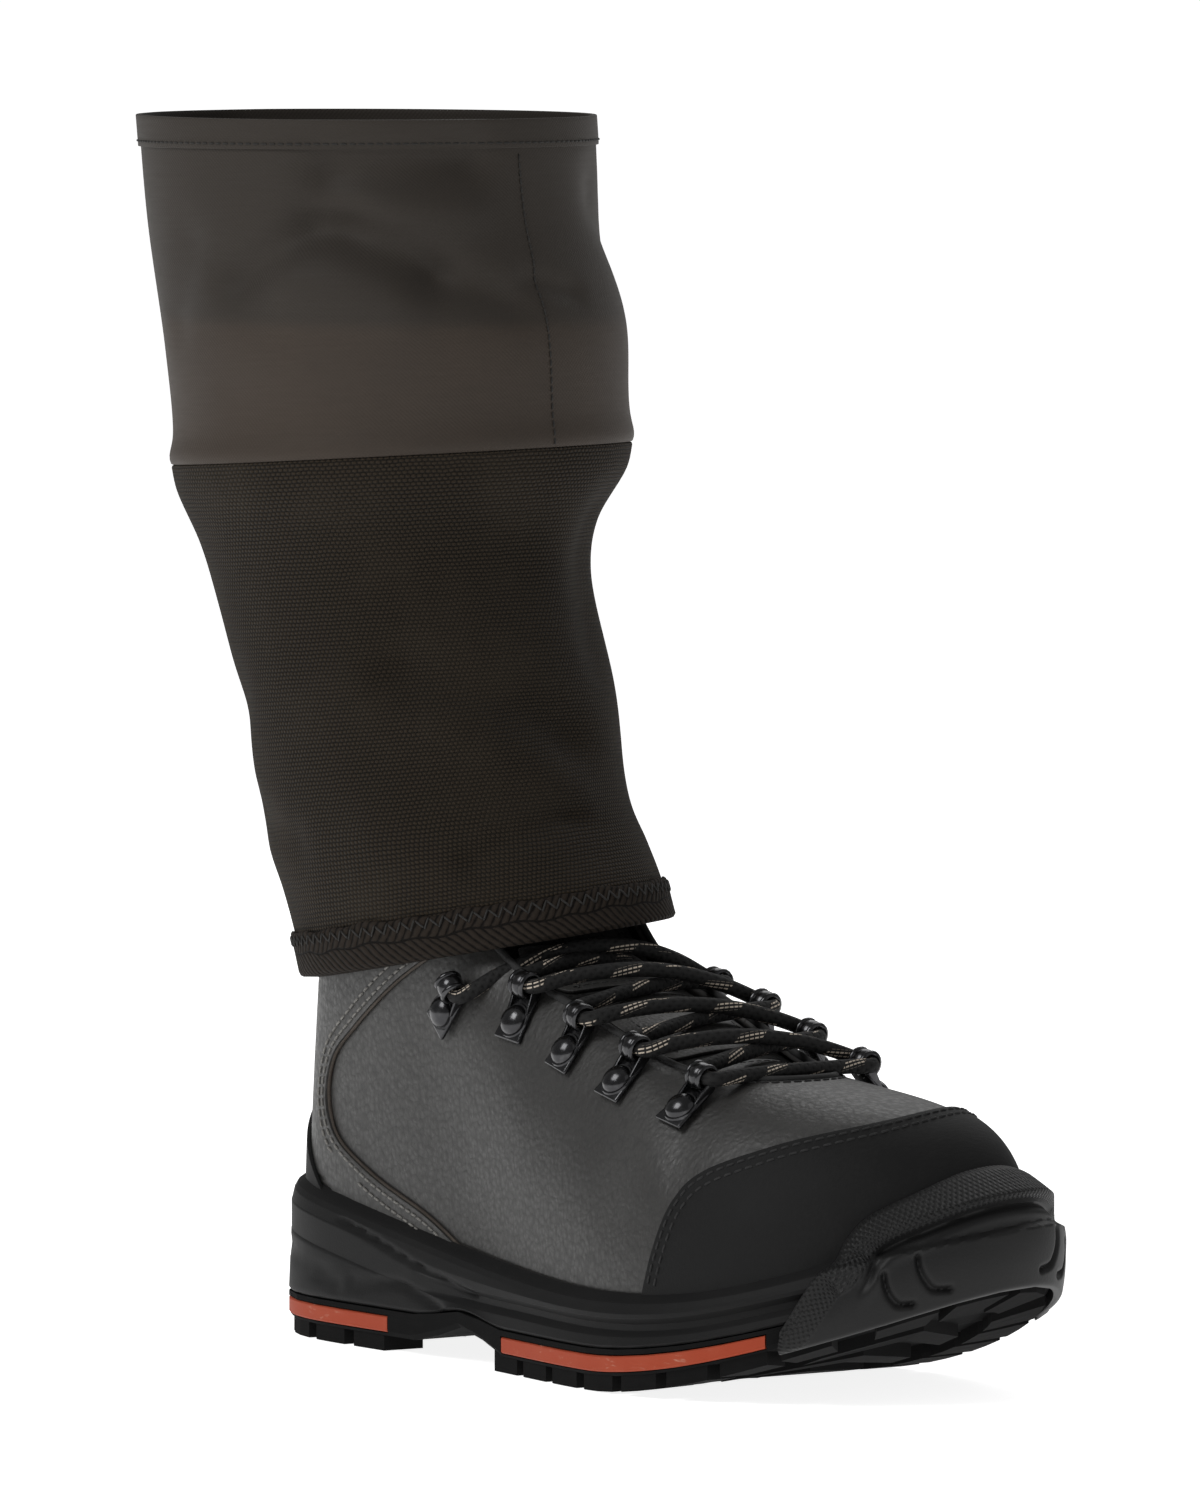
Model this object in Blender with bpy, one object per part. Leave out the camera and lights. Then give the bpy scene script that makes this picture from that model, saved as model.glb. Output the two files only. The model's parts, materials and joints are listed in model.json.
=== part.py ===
"""Right wading boot with the lower leg of a wader worn over it.

Metres, +Z up. The toe points along +X and the outer (lateral) side of the foot faces -Y.
Tables and functions below work in millimetres in the boot's own frame: heel back at x = 0,
floor at z = 0. A root empty then centres the whole part over the origin.
"""

import math
from collections import namedtuple

import bpy
import bmesh
import numpy as np
from mathutils import Vector

MM = 0.001

# Driving dimensions, in millimetres
FIT_GAP = 0.3            # air left between two pieces that meet
TOE_SPRING = 23.0        # rise of the sole's underside at the toe's outer side
SPRING_START = 205.0     # where along the foot the toe starts to rise
SPRING_POWER = 1.8
INNER_LIFT = 13.0        # how much higher the toe's inner corner is than its outer one
SOLE_LENGTH = 304.5
SOLE_HALF_WIDTH = 55.0
LUG_DEPTH = 4.6
TOE_THINNING = 0.38      # share of the outsole's thickness lost at the toe tip
ARCH_RISE = 6.0          # lift of the sole's underside between heel and forefoot
ARCH_CENTRE = 128.0
ARCH_HALF_LENGTH = 27.0
OUTSOLE_TOP = 12.2       # height of the outsole's upper face where the sole lies flat
UPPER_INSET = 7.6        # upper's outer face at the footbed, in from the sole's edge
UPPER_WALL = 2.4
COLLAR_WALL = 4.6        # padded collar
CAP_THICKNESS = 1.3
COUNTER_THICKNESS = 1.2
BUMPER_THICKNESS = 3.5
INSOLE_THICKNESS = 4.0
TONGUE_THICKNESS = 3.6
STRIPE_LOW = 5.8         # coloured inlay band in the outsole's edge
STRIPE_HIGH = 10.4
STRIPE_DEPTH = 3.0
LACE_DIAMETER = 4.6
GUARD_WALL = 3.6         # knitted neoprene
LEG_WALL = 1.4           # laminated cloth
BINDING_WALL = 1.1
BINDING_HEIGHT = 10.5
LEG_TOP = 356.0

# Resolution
AROUND = 54              # stations round the foot
UPPER_STEPS = 8          # steps from the footbed up to the topline
LEG_AROUND = 32

# One row for each station round the foot, from the heel's back along the outer side to the toe
# and home along the inner side. x, y: edge of the sole. floor: footbed. groove, rim: side wall.
# top_*: topline of the upper. lean, top_lean: slope of the upper at foot and topline, in degrees.
# rise, reach: how far the upper follows those two slopes.
Station = namedtuple(
    "Station",
    "name x y floor groove rim top_x top_y top_z lean top_lean rise reach",
)
STATIONS = [
    Station("heel_back", 0, 1, 25, 34, 46, 19, 0, 150, 91, 84, 34, 30),
    Station("heel_outer", 20, -33, 25, 33, 44.5, 30, -24, 151, 90, 87, 34, 32),
    Station("heel_side_outer", 60, -43, 24, 28, 39.5, 59, -34.5, 152, 88, 90, 34, 34),
    Station("waist_outer", 115, -46, 21, 20.5, 31.5, 86, -32.5, 147, 87, 82, 36, 34),
    Station("instep_outer", 170, -54, 18.5, 19.0, 26.8, 121, -26, 116, 89, 50, 34, 34),
    Station("ball_outer", 215, -59, 18, 18.8, 26.2, 160, -25, 102, 92, 36, 32, 34),
    Station("vamp_outer", 252, -53, 22, 22.5, 29.5, 198, -22, 90, 93, 22, 33, 34),
    Station("toe_outer", 283, -33, 30, 30.7, 38, 220, -14, 87, 91, 12, 37, 37),
    Station("toe_corner_outer", 299, -10, 36, 36.6, 45, 228, -5, 87, 90, 8, 37, 42),
    Station("toe_tip", 304.5, 12, 40.5, 42, 48.5, 229, 4, 87, 90, 7, 37, 44),
    Station("toe_corner_inner", 299, 34, 41, 42.5, 49.5, 227, 12, 87, 91, 8, 39, 44),
    Station("toe_inner", 278, 50, 33, 34, 42.5, 218, 19, 87, 93, 12, 39, 40),
    Station("vamp_inner", 243, 57, 23, 24, 32, 195, 23, 91, 94, 24, 36, 36),
    Station("ball_inner", 205, 53, 19, 20, 28.5, 158, 26, 103, 92, 38, 36, 34),
    Station("waist_inner", 155, 42, 20, 20.5, 30, 120, 27, 117, 88, 52, 36, 34),
    Station("arch_inner", 105, 38, 22, 25, 35, 86, 33, 147, 85, 82, 36, 34),
    Station("heel_side_inner", 55, 41, 24, 31, 40, 58, 35, 152, 88, 90, 34, 34),
    Station("heel_inner", 18, 31, 25, 34, 44.5, 29, 24, 151, 90, 87, 34, 32),
]
TOE_TIP_ROW = [station.name for station in STATIONS].index("toe_tip")

# Lace hooks, from the collar down: place round the foot, height up the upper's wall, and how far
# the hook leans towards the toe, in degrees
HookPlace = namedtuple("HookPlace", "around up lean")
HOOKS = [
    HookPlace(0.200, 0.625, 42),
    HookPlace(0.270, 0.805, 0),
    HookPlace(0.311, 0.805, 0),
    HookPlace(0.344, 0.780, 0),
    HookPlace(0.379, 0.748, 0),
]
HOOK_PLATE = (8.6, 15.0, 1.2)      # along the eyestay, across it, thick
HOOK_RIVET_RADIUS = 3.7
HOOK_RIVET_HEIGHT = 2.2
HOOK_LOOP_INNER = 2.75
HOOK_LOOP_WALL = 1.25
HOOK_LOOP_LENGTH = 5.6
HOOK_LOOP_REACH = 10.4             # loop's axis, from the rivet towards the throat

# Leg and guard, a row for each ring: height of its middle, middle of the leg, half depth (front
# to back) and half width, how much higher its front is than its back (tilt), and how much higher
# its inner side is than its outer side (roll)
LegRing = namedtuple("LegRing", "z x y depth width tilt roll")
GUARD_RINGS = [
    LegRing(116, 74, 0, 68.5, 44.2, 20, 9),
    LegRing(126.5, 69.5, 0, 66.5, 45.5, 19, 8),
    LegRing(138, 63, 0, 63.0, 47.5, 16, 7),
    LegRing(151, 56, -1, 60.5, 49.0, 14, 5),
    LegRing(186, 48, -2, 60.0, 51.0, 10, 3),
    LegRing(220, 36, -3, 60.0, 52.5, 8, 3),
    LegRing(234, 34, -3, 62.5, 56.0, 8, 3),
    LegRing(250, 34, -2, 69.0, 64.5, 8, 3),
    LegRing(257, 34, -2, 70.5, 66.0, 8, 3),
]
LEG_RINGS = [
    LegRing(244, 34, -2, 60.5, 55.0, 8, 3),
    LegRing(256, 34, -2, 65.0, 60.4, 8, 3),
    LegRing(260, 34, -2, 69.0, 64.5, 8, 3),
    LegRing(291, 34, -4, 70.5, 66.0, 8, 3),
    LegRing(326, 26, -6, 69.5, 65.0, 4, 0),
    LegRing(LEG_TOP, 23, -7, 70.0, 65.0, 0, 0),
]


# Curves and rings

def closed_spline(points):
    """A smooth closed curve through the rows of points: a function of 0 to 1 for each half.

    The first half runs from row 0 to the toe tip, the second from there back to row 0.
    """
    loop = np.vstack([points, points[:1]])
    chord = np.linalg.norm(np.diff(loop[:, :2], axis=0), axis=1)
    knots = np.concatenate([[0.0], np.cumsum(chord)])
    count = len(points)
    matrix = np.zeros((count, count))
    right = np.zeros_like(points)
    for i in range(count):
        before, after = chord[i - 1], chord[i]
        matrix[i, i - 1] += before
        matrix[i, i] += 2 * (before + after)
        matrix[i, (i + 1) % count] += after
        ahead = (loop[i + 1] - loop[i]) / after
        behind = (loop[i] - points[i - 1]) / before
        right[i] = 6 * (ahead - behind)
    bend = np.linalg.solve(matrix, right)
    bend = np.vstack([bend, bend[:1]])
    toe = knots[TOE_TIP_ROW]

    def at(u):
        u = u % 1.0
        t = toe * u * 2 if u < 0.5 else toe + (knots[-1] - toe) * (u - 0.5) * 2
        i = min(int(np.searchsorted(knots, t, side="right")) - 1, count - 1)
        a = (knots[i + 1] - t) / chord[i]
        b = 1 - a
        curve = (a**3 - a) * bend[i] + (b**3 - b) * bend[i + 1]
        return a * loop[i] + b * loop[i + 1] + curve * chord[i] ** 2 / 6

    return at


STATION_AT = closed_spline(np.array([row[1:] for row in STATIONS], float))


def station(u):
    """The station's sizes at any place u round the foot, 0 at the heel and 0.5 at the toe tip."""
    return Station("between", *STATION_AT(u))


def outward(u):
    """Unit vector in plan, square to the sole's edge and pointing away from the foot."""
    step = 0.002
    ahead, behind = STATION_AT(u + step), STATION_AT(u - step)
    dx, dy = ahead[0] - behind[0], ahead[1] - behind[1]
    length = math.hypot(dx, dy)
    return np.array([dy, -dx]) / length


def sole_edge(u, inset):
    """Point in plan on the sole's edge, moved inwards."""
    here = station(u)
    return np.array([here.x, here.y]) - inset * outward(u)


def spring(x, y):
    """How far the sole's underside is off the floor there, through the toe spring."""
    share = max(0.0, (x - SPRING_START) / (SOLE_LENGTH - SPRING_START))
    across = max(0.0, y + SOLE_HALF_WIDTH) / (2 * SOLE_HALF_WIDTH)
    return TOE_SPRING * share**SPRING_POWER + INNER_LIFT * min(1.0, share) * across


def arch(x):
    """Extra lift of the underside between heel and forefoot."""
    share = abs(x - ARCH_CENTRE) / ARCH_HALF_LENGTH
    return ARCH_RISE * (1 + math.cos(math.pi * share)) / 2 if share < 1 else 0.0


def upper_point(u, v):
    """Outer face of the upper: v runs from 0 at the footbed to 1 at the topline."""
    here = station(u)
    foot = np.append(sole_edge(u, UPPER_INSET), here.floor + 0.4)
    top = np.array([here.top_x, here.top_y, here.top_z])
    inward = -outward(u)
    across = (top - foot)[:2] + 10 * inward
    across = across / np.linalg.norm(across)
    lean, top_lean = math.radians(here.lean), math.radians(here.top_lean)
    leave = np.append(inward * math.cos(lean), math.sin(lean))
    arrive = np.append(across * math.cos(top_lean), math.sin(top_lean))
    first = foot + here.rise * leave
    second = top - here.reach * arrive
    w = 1 - v
    return w**3 * foot + 3 * w * w * v * first + 3 * w * v * v * second + v**3 * top


def upper_normal(u, v):
    """Unit vector out of the upper's outer face."""
    step = 0.004
    low, high = max(0.0, v - step), min(1.0, v + step)
    along = upper_point(u + step, v) - upper_point(u - step, v)
    up = upper_point(u, high) - upper_point(u, low)
    normal = np.cross(up, along)
    normal = normal / np.linalg.norm(normal)
    return normal if normal[:2] @ outward(u) > 0 or normal[2] > 0.5 else -normal


def upper_offset(u, v, distance):
    """Point off the upper's outer face, outwards for a positive distance."""
    return upper_point(u, v) + distance * upper_normal(u, v)


def wall_at(u, v):
    """Thickness of the upper: padded towards the collar, thin on the vamp."""
    here = station(u)
    collar = min(1.0, max(0.0, (here.top_z - 112) / 34))
    pad = min(1.0, max(0.0, (v - 0.45) / 0.3))
    return UPPER_WALL + (COLLAR_WALL - UPPER_WALL) * collar * pad


def height_up_upper(u, z):
    """The v at which the upper's wall first reaches height z."""
    low, high = 0.0, 0.85
    for _ in range(30):
        middle = (low + high) / 2
        if upper_point(u, middle)[2] < z:
            low = middle
        else:
            high = middle
    return (low + high) / 2


def stations_round(count):
    """Even places round the whole foot."""
    return [i / count for i in range(count)]


# Meshes

def new_object(name, mesh, collection):
    thing = bpy.data.objects.new(name, mesh)
    collection.objects.link(thing)
    return thing


def mesh_from(name, points, faces):
    """A mesh in metres from points in millimetres, with its faces pointing out."""
    mesh = bpy.data.meshes.new(name)
    mesh.from_pydata([Vector(p) * MM for p in points], [], faces)
    form = bmesh.new()
    form.from_mesh(mesh)
    bmesh.ops.recalc_face_normals(form, faces=form.faces)
    form.to_mesh(mesh)
    form.free()
    mesh.shade_smooth()
    mesh.set_sharp_from_angle(angle=math.radians(35))
    return mesh


def tube_loft(rings):
    """Points and faces of closed rings joined one to the next, the last back to the first."""
    count = len(rings[0])
    points = [p for ring in rings for p in ring]
    faces = []
    for r in range(len(rings)):
        here, there = r * count, (r + 1) % len(rings) * count
        for i in range(count):
            j = (i + 1) % count
            faces.append((here + i, here + j, there + j, there + i))
    return points, faces


def capped_loft(rings):
    """Closed rings joined one to the next, the first and last closed by strips across the foot."""
    count = len(rings[0])
    points = [p for ring in rings for p in ring]
    faces = []
    for r in range(len(rings) - 1):
        here, there = r * count, (r + 1) * count
        for i in range(count):
            j = (i + 1) % count
            faces.append((here + i, here + j, there + j, there + i))
    for start in (0, (len(rings) - 1) * count):
        for i in range(count // 2):
            a, b = start + i, start + i + 1
            c, d = start + (count - i - 1) % count, start + (count - i) % count
            if i < count // 2 - 1:
                faces.append((a, b, c))
            if i > 0:
                faces.append((a, c, d))
    return points, faces


def band_loft(sections):
    """Closed sections joined one to the next, with a flat face on each end."""
    count = len(sections[0])
    points = [p for section in sections for p in section]
    faces = [tuple(range(count)), tuple(range(len(points) - count, len(points)))]
    for s in range(len(sections) - 1):
        here, there = s * count, (s + 1) * count
        for i in range(count):
            j = (i + 1) % count
            faces.append((here + i, here + j, there + j, there + i))
    return points, faces


def apply_boolean(target, cutter, operation):
    """Joins or cuts target with cutter, and hides the cutter."""
    modifier = target.modifiers.new(operation.lower(), "BOOLEAN")
    modifier.operation = operation
    modifier.object = cutter
    cutter.hide_render = True
    cutter.display_type = "WIRE"


# Sole

def layer(x, y, height):
    """Height in the outsole's thickness, which follows the toe spring and thins at the toe."""
    lift = spring(x, y)
    return lift + height * (1 - TOE_THINNING * min(1.0, lift / TOE_SPRING))


def underside(x, y):
    """Height of the outsole's underside between its lugs."""
    return layer(x, y, LUG_DEPTH) + arch(x)


def outsole_top(x, y):
    return layer(x, y, OUTSOLE_TOP) + 0.5 * arch(x)


def edge_ring(u_list, inset, height_of):
    """A ring round the sole's edge, at the height that height_of gives for a station."""
    return [(*sole_edge(u, inset), height_of(station(u))) for u in u_list]


def edge_block(u_start, u_end, steps, insets, heights):
    """A block along the sole's edge between two insets and two heights, functions of x and y."""
    low, high = heights
    outer, inner = insets
    sections = []
    for k in range(steps + 1):
        u = u_start + (u_end - u_start) * k / steps
        a, b = sole_edge(u, outer), sole_edge(u, inner)
        sections.append([(*a, low(*a)), (*b, low(*b)), (*b, high(*b)), (*a, high(*a))])
    return band_loft(sections)


# Coloured inlays: name, first and last place round the foot, steps along it
STRIPES = [
    ("stripe_heel", -0.145, 0.148, 20),
    ("stripe_forefoot_outer", 0.242, 0.408, 12),
    ("stripe_forefoot_inner", 0.592, 0.752, 12),
]


def stripe_block(u_start, u_end, steps, grow):
    """Coloured inlay of the outsole's edge, or with grow the larger slot that holds it."""
    return edge_block(
        u_start, u_end, steps,
        (-1.0 if grow else 0.25, STRIPE_DEPTH + grow),
        (
            lambda x, y: layer(x, y, STRIPE_LOW) - grow,
            lambda x, y: layer(x, y, STRIPE_HIGH) + grow,
        ),
    )


# Lugs round the edge: first and last place, how many, share of the pitch that is rubber
LugRow = namedtuple("LugRow", "start end count fill depth_in")
EDGE_LUGS = [
    LugRow(-0.150, 0.150, 10, 0.76, 15.0),
    LugRow(0.232, 0.440, 8, 0.78, 17.0),
    LugRow(0.452, 0.548, 3, 0.78, 15.0),
    LugRow(0.560, 0.768, 8, 0.78, 17.0),
]
# Chevrons on the middle of the tread: where along the foot, half span, arm length along the foot
Chevron = namedtuple("Chevron", "x y half_span thick sweep")
CHEVRONS = [
    Chevron(52, 0, 17, 9, 7),
    Chevron(172, -2, 24, 9, 8),
    Chevron(196, -1, 30, 9, 9),
    Chevron(220, 0, 32, 9, 9),
    Chevron(244, 1, 30, 9, 9),
    Chevron(268, 5, 24, 9, 8),
]


def chevron_block(row):
    """A V-shaped lug, from the floor up into the outsole."""
    arms = [(-row.half_span, -row.sweep), (0, row.sweep), (row.half_span, -row.sweep)]
    sections = []
    for side, ahead in arms:
        x, y = row.x + ahead, row.y + side
        ends = [x - row.thick / 2, x + row.thick / 2]
        low = [(end, y, spring(end, y)) for end in ends]
        high = [(end, y, underside(end, y) + 1.5) for end in reversed(ends)]
        sections.append(low + high)
    return band_loft(sections)


def build_outsole(parts, cutters):
    u_list = stations_round(AROUND)
    rings = [
        edge_ring(u_list, 1.4, lambda here: underside(here.x, here.y)),
        edge_ring(u_list, 0.2, lambda here: underside(here.x, here.y) + 1.4),
        edge_ring(u_list, 0.2, lambda here: outsole_top(here.x, here.y)),
    ]
    outsole = new_object("outsole", mesh_from("outsole", *capped_loft(rings)), parts)
    points, faces = [], []
    blocks = [chevron_block(row) for row in CHEVRONS]
    for row in EDGE_LUGS:
        pitch = (row.end - row.start) / row.count
        for k in range(row.count):
            start = row.start + k * pitch
            blocks.append(edge_block(
                start, start + pitch * row.fill, 2,
                (1.7, row.depth_in), (spring, lambda x, y: underside(x, y) + 1.5),
            ))
    for block_points, block_faces in blocks:
        base = len(points)
        points += block_points
        faces += [tuple(base + i for i in face) for face in block_faces]
    lugs = new_object("lugs", mesh_from("lugs", points, faces), cutters)
    apply_boolean(outsole, lugs, "UNION")
    for name, start, end, steps in STRIPES:
        slot = new_object(
            "slot_" + name,
            mesh_from(
                "slot_" + name,
                *stripe_block(start - 0.0006, end + 0.0006, steps, FIT_GAP),
            ),
            cutters,
        )
        apply_boolean(outsole, slot, "DIFFERENCE")
    return outsole


def build_stripes(parts):
    return [
        new_object(name, mesh_from(name, *stripe_block(start, end, steps, 0.0)), parts)
        for name, start, end, steps in STRIPES
    ]


# Side of the midsole, from the outsole up: height above or below the groove or rim, and inset
MidsoleStep = namedtuple("MidsoleStep", "datum above inset")
MIDSOLE_SIDE = [
    MidsoleStep("split", FIT_GAP, 0.2),
    MidsoleStep("groove", -2.6, 0.9),
    MidsoleStep("groove", -0.7, 2.9),
    MidsoleStep("groove", 1.0, 2.7),
    MidsoleStep("groove", 2.8, 1.3),
    MidsoleStep("rim", -2.2, 2.0),
    MidsoleStep("rim", 0.0, 3.4),
]


def build_midsole(parts):
    u_list = stations_round(AROUND)
    rings = []
    for step in MIDSOLE_SIDE:
        def height_of(here, step=step):
            split = outsole_top(here.x, here.y)
            datum = {"split": split, "groove": max(here.groove, split + 3.3), "rim": here.rim}
            return datum[step.datum] + step.above
        rings.append(edge_ring(u_list, step.inset, height_of))
    for share in (1.0, 0.5, 0.0):
        ring = []
        for u in u_list:
            here = station(u)
            z = here.floor + share * (here.rim - here.floor)
            v = height_up_upper(u, z)
            wall = upper_offset(u, v, FIT_GAP + 0.15)
            ring.append((wall[0], wall[1], z))
        rings.append(ring)
    return new_object("midsole", mesh_from("midsole", *capped_loft(rings)), parts)


def build_insole(parts):
    u_list = stations_round(AROUND)
    inset = UPPER_INSET + UPPER_WALL + 0.8
    lift = 0.6
    rings = [
        edge_ring(u_list, inset, lambda here: here.floor + lift),
        edge_ring(u_list, inset + 1.0, lambda here: here.floor + lift + INSOLE_THICKNESS),
    ]
    return new_object("insole", mesh_from("insole", *capped_loft(rings)), parts)


# Upper and what lies on it

def build_upper(parts):
    u_list = stations_round(AROUND)
    levels = [i / UPPER_STEPS for i in range(UPPER_STEPS + 1)]
    rings = [[upper_point(u, v) for u in u_list] for v in levels]
    for v in reversed(levels):
        rings.append([upper_offset(u, v, -wall_at(u, v)) for u in u_list])
    return new_object("upper", mesh_from("upper", *tube_loft(rings)), parts)


def shell_patch(u_start, u_end, steps_u, v_range, steps_v, offsets):
    """A curved sheet that follows the upper, between two offsets. v_range gives v at u."""
    inner, outer = offsets
    sections = []
    for k in range(steps_u + 1):
        u = u_start + (u_end - u_start) * k / steps_u
        low, high = v_range(u)
        levels = [low + (high - low) * j / steps_v for j in range(steps_v + 1)]
        section = [upper_offset(u, v, outer) for v in levels]
        section += [upper_offset(u, v, inner) for v in reversed(levels)]
        sections.append(section)
    return band_loft(sections)


# Back edge of the toe cap: place round the foot and height up the wall, outer side then inner
CAP_START, CAP_END = 0.342, 0.658
CAP_TOP = [  # u, v
    (0.342, 0.10), (0.350, 0.22), (0.365, 0.38), (0.380, 0.47), (0.395, 0.51), (0.420, 0.54),
    (0.445, 0.56), (0.477, 0.58), (0.520, 0.60), (0.555, 0.59), (0.580, 0.56), (0.605, 0.51),
    (0.620, 0.47), (0.635, 0.38), (0.650, 0.22), (0.658, 0.10),
]


def cap_range(u):
    low = height_up_upper(u, station(u).rim + FIT_GAP)
    high = float(np.interp(u, [p[0] for p in CAP_TOP], [p[1] for p in CAP_TOP]))
    return low, max(high, low + 0.02)


def build_toe_cap(parts):
    offsets = (FIT_GAP + 0.25, FIT_GAP + CAP_THICKNESS)
    patch = shell_patch(CAP_START, CAP_END, 22, cap_range, 6, offsets)
    return new_object("toe_cap", mesh_from("toe_cap", *patch), parts)


# Seen from the side, what is cut away from the counter: all that the guard's hem hides, and all
# in front of the quarter's back edge
COUNTER_HEM = [(-20, 98.5), (88, 114.5)]  # x, z
COUNTER_FRONT = [  # x, z
    (80, 103.5), (57, 92), (44, 82), (40, 71), (45, 61), (66, 50), (98, 40),
    (124, 33), (150, 20), (170, 60), (170, 190), (-20, 190),
]
HEM_SLOPE = 0.10         # rise of the hem across the leg, towards the inner side


def build_heel_counter(parts, cutters):
    def whole_wall(u):
        return height_up_upper(u, station(u).rim + FIT_GAP), 0.985
    offsets = (FIT_GAP + 0.1, FIT_GAP + COUNTER_THICKNESS)
    patch = shell_patch(-0.195, 0.195, 22, whole_wall, 6, offsets)
    counter = new_object("heel_counter", mesh_from("heel_counter", *patch), parts)
    half_width = 46
    sections = []
    for y in (-half_width, half_width):
        hem = [(x, y, z + HEM_SLOPE * y) for x, z in COUNTER_HEM]
        sections.append(hem + [(x, y, z) for x, z in COUNTER_FRONT])
    cutter = new_object("counter_cut", mesh_from("counter_cut", *band_loft(sections)), cutters)
    apply_boolean(counter, cutter, "DIFFERENCE")
    return counter


# Toe bumper: place round the foot, and its top edge above the midsole's rim
BUMPER_TOP = [  # u, height above the rim
    (0.415, -13.0), (0.430, 0.4), (0.434, 1.5), (0.440, 7.5), (0.450, 12.0), (0.465, 14.0),
    (0.500, 17.0), (0.545, 14.5), (0.558, 11.5), (0.568, 6.0), (0.575, 1.5), (0.579, 0.4),
    (0.592, -13.0),
]
BUMPER_STEP = 0.010      # longest stretch round the foot between two of its sections
BUMPER_LOW = -2.0        # its lower edge against the sole's underside between the lugs
RIM_EDGE = 1.2           # its thickness at the very top
RIM_SLOPE = 1.0          # how fast it thickens from there down


def bumper_section(u):
    """Section of the bumper: it stands on the sole's edge, and laps over the toe cap above it."""
    here = station(u)
    low = underside(here.x, here.y) + BUMPER_LOW
    above = float(np.interp(u, [p[0] for p in BUMPER_TOP], [p[1] for p in BUMPER_TOP]))
    top = max(here.rim + above, low + 2.0)
    ledge = min(here.rim + 0.5, top - 0.4) if top > here.rim - 1 else low + 0.6 * (top - low)
    heights = [low + (ledge - low) * k / 4 for k in range(5)]
    heights += [ledge + (top - ledge) * k / 3 for k in range(1, 4)]
    edge, away = sole_edge(u, 0.0), outward(u)
    inner, outer = [], []
    for z in heights:
        reach = FIT_GAP - 0.2
        if z > here.rim + 0.6:
            v = height_up_upper(u, z)
            lap = upper_offset(u, v, 4 * FIT_GAP + CAP_THICKNESS)
            reach = float((lap[:2] - edge) @ away)
        share = (z - low) / (top - low)
        crown = BUMPER_THICKNESS * (0.55 + 0.45 * math.sin(math.pi * min(1.0, share * 1.25 + 0.1)))
        inner.append((*(edge + reach * away), z))
        sloped = reach + RIM_EDGE + RIM_SLOPE * (top - z)
        outer.append((*(edge + min(max(reach, -2.2) + crown, sloped) * away), z))
    return outer + inner[::-1]


def build_toe_bumper(parts):
    places = [BUMPER_TOP[0][0]]
    for (start, _), (end, _) in zip(BUMPER_TOP, BUMPER_TOP[1:]):
        pieces = math.ceil((end - start) / BUMPER_STEP)
        places += [start + (end - start) * k / pieces for k in range(1, pieces + 1)]
    sections = [bumper_section(u) for u in places]
    return new_object("toe_bumper", mesh_from("toe_bumper", *band_loft(sections)), parts)


# Tongue: place round the foot of its edges, and how far its middle stands up between them
TongueRow = namedtuple("TongueRow", "u crown")
TONGUE_ROWS = [
    TongueRow(0.462, 0.8),
    TongueRow(0.430, 2.0),
    TongueRow(0.390, 4.0),
    TongueRow(0.350, 6.0),
    TongueRow(0.310, 8.0),
    TongueRow(0.270, 9.0),
    TongueRow(0.235, 10.0),
    TongueRow(0.205, 11.0),
]
TONGUE_ACROSS = 6
TONGUE_TUCK = (0.86, 0.99)     # the strip of the wall that each edge lies under
TONGUE_UP = np.array([0.45, 0.0, 0.893])


def tongue_section(row):
    """Section across the tongue, from under the outer eyestay to under the inner one."""
    def under(u, v):
        return upper_offset(u, v, -wall_at(u, v) - 4 * FIT_GAP)
    low, high = TONGUE_TUCK
    start, end = under(row.u, high), under(1 - row.u, high)
    outer = [under(row.u, low)]
    for k in range(TONGUE_ACROSS + 1):
        share = k / TONGUE_ACROSS
        bow = 4 * share * (1 - share)
        outer.append(start + share * (end - start) + row.crown * bow * TONGUE_UP)
    outer.append(under(1 - row.u, low))
    thin = [0.4] * 2 + [1.0] * (TONGUE_ACROSS - 1) + [0.4] * 2
    inner = [p - TONGUE_THICKNESS * t * TONGUE_UP for p, t in zip(outer, thin)]
    return outer + inner[::-1]


def build_tongue(parts):
    sections = [tongue_section(row) for row in TONGUE_ROWS]
    return new_object("tongue", mesh_from("tongue", *band_loft(sections)), parts)


# Lace and its hooks

LACE_LIFT = 8.0          # bow of a crossing over the tongue
LACE_CLEAR = HOOK_LOOP_LENGTH / 2 + 3.2    # where a strand ends, from the middle of a loop


def hook_frame(index, side):
    """Middle of a hook's plate and its axes: along the eyestay, towards the throat, outwards."""
    place = HOOKS[index]
    u = place.around if side == "outer" else 1 - place.around
    middle = upper_offset(u, place.up, FIT_GAP + 0.25)
    out = upper_normal(u, place.up)
    throat = upper_point(u, min(1.0, place.up + 0.04)) - upper_point(u, place.up - 0.04)
    neighbours = [HOOKS[max(0, index - 1)], HOOKS[min(len(HOOKS) - 1, index + 1)]]
    ends = [
        upper_point(n.around if side == "outer" else 1 - n.around, n.up) for n in neighbours
    ]
    along = ends[1] - ends[0]
    along = along - (along @ out) * out
    along = along / np.linalg.norm(along)
    across = np.cross(out, along)
    if across @ throat < 0:
        across = -across
    lean = math.radians(place.lean)
    along, across = (
        math.cos(lean) * along - math.sin(lean) * across,
        math.sin(lean) * along + math.cos(lean) * across,
    )
    return middle, along, across, out


def placed(points, frame):
    """Points in a hook's own frame, in the boot's frame."""
    middle, along, across, out = frame
    return [middle + x * along + y * across + z * out for x, y, z in points]


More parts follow.
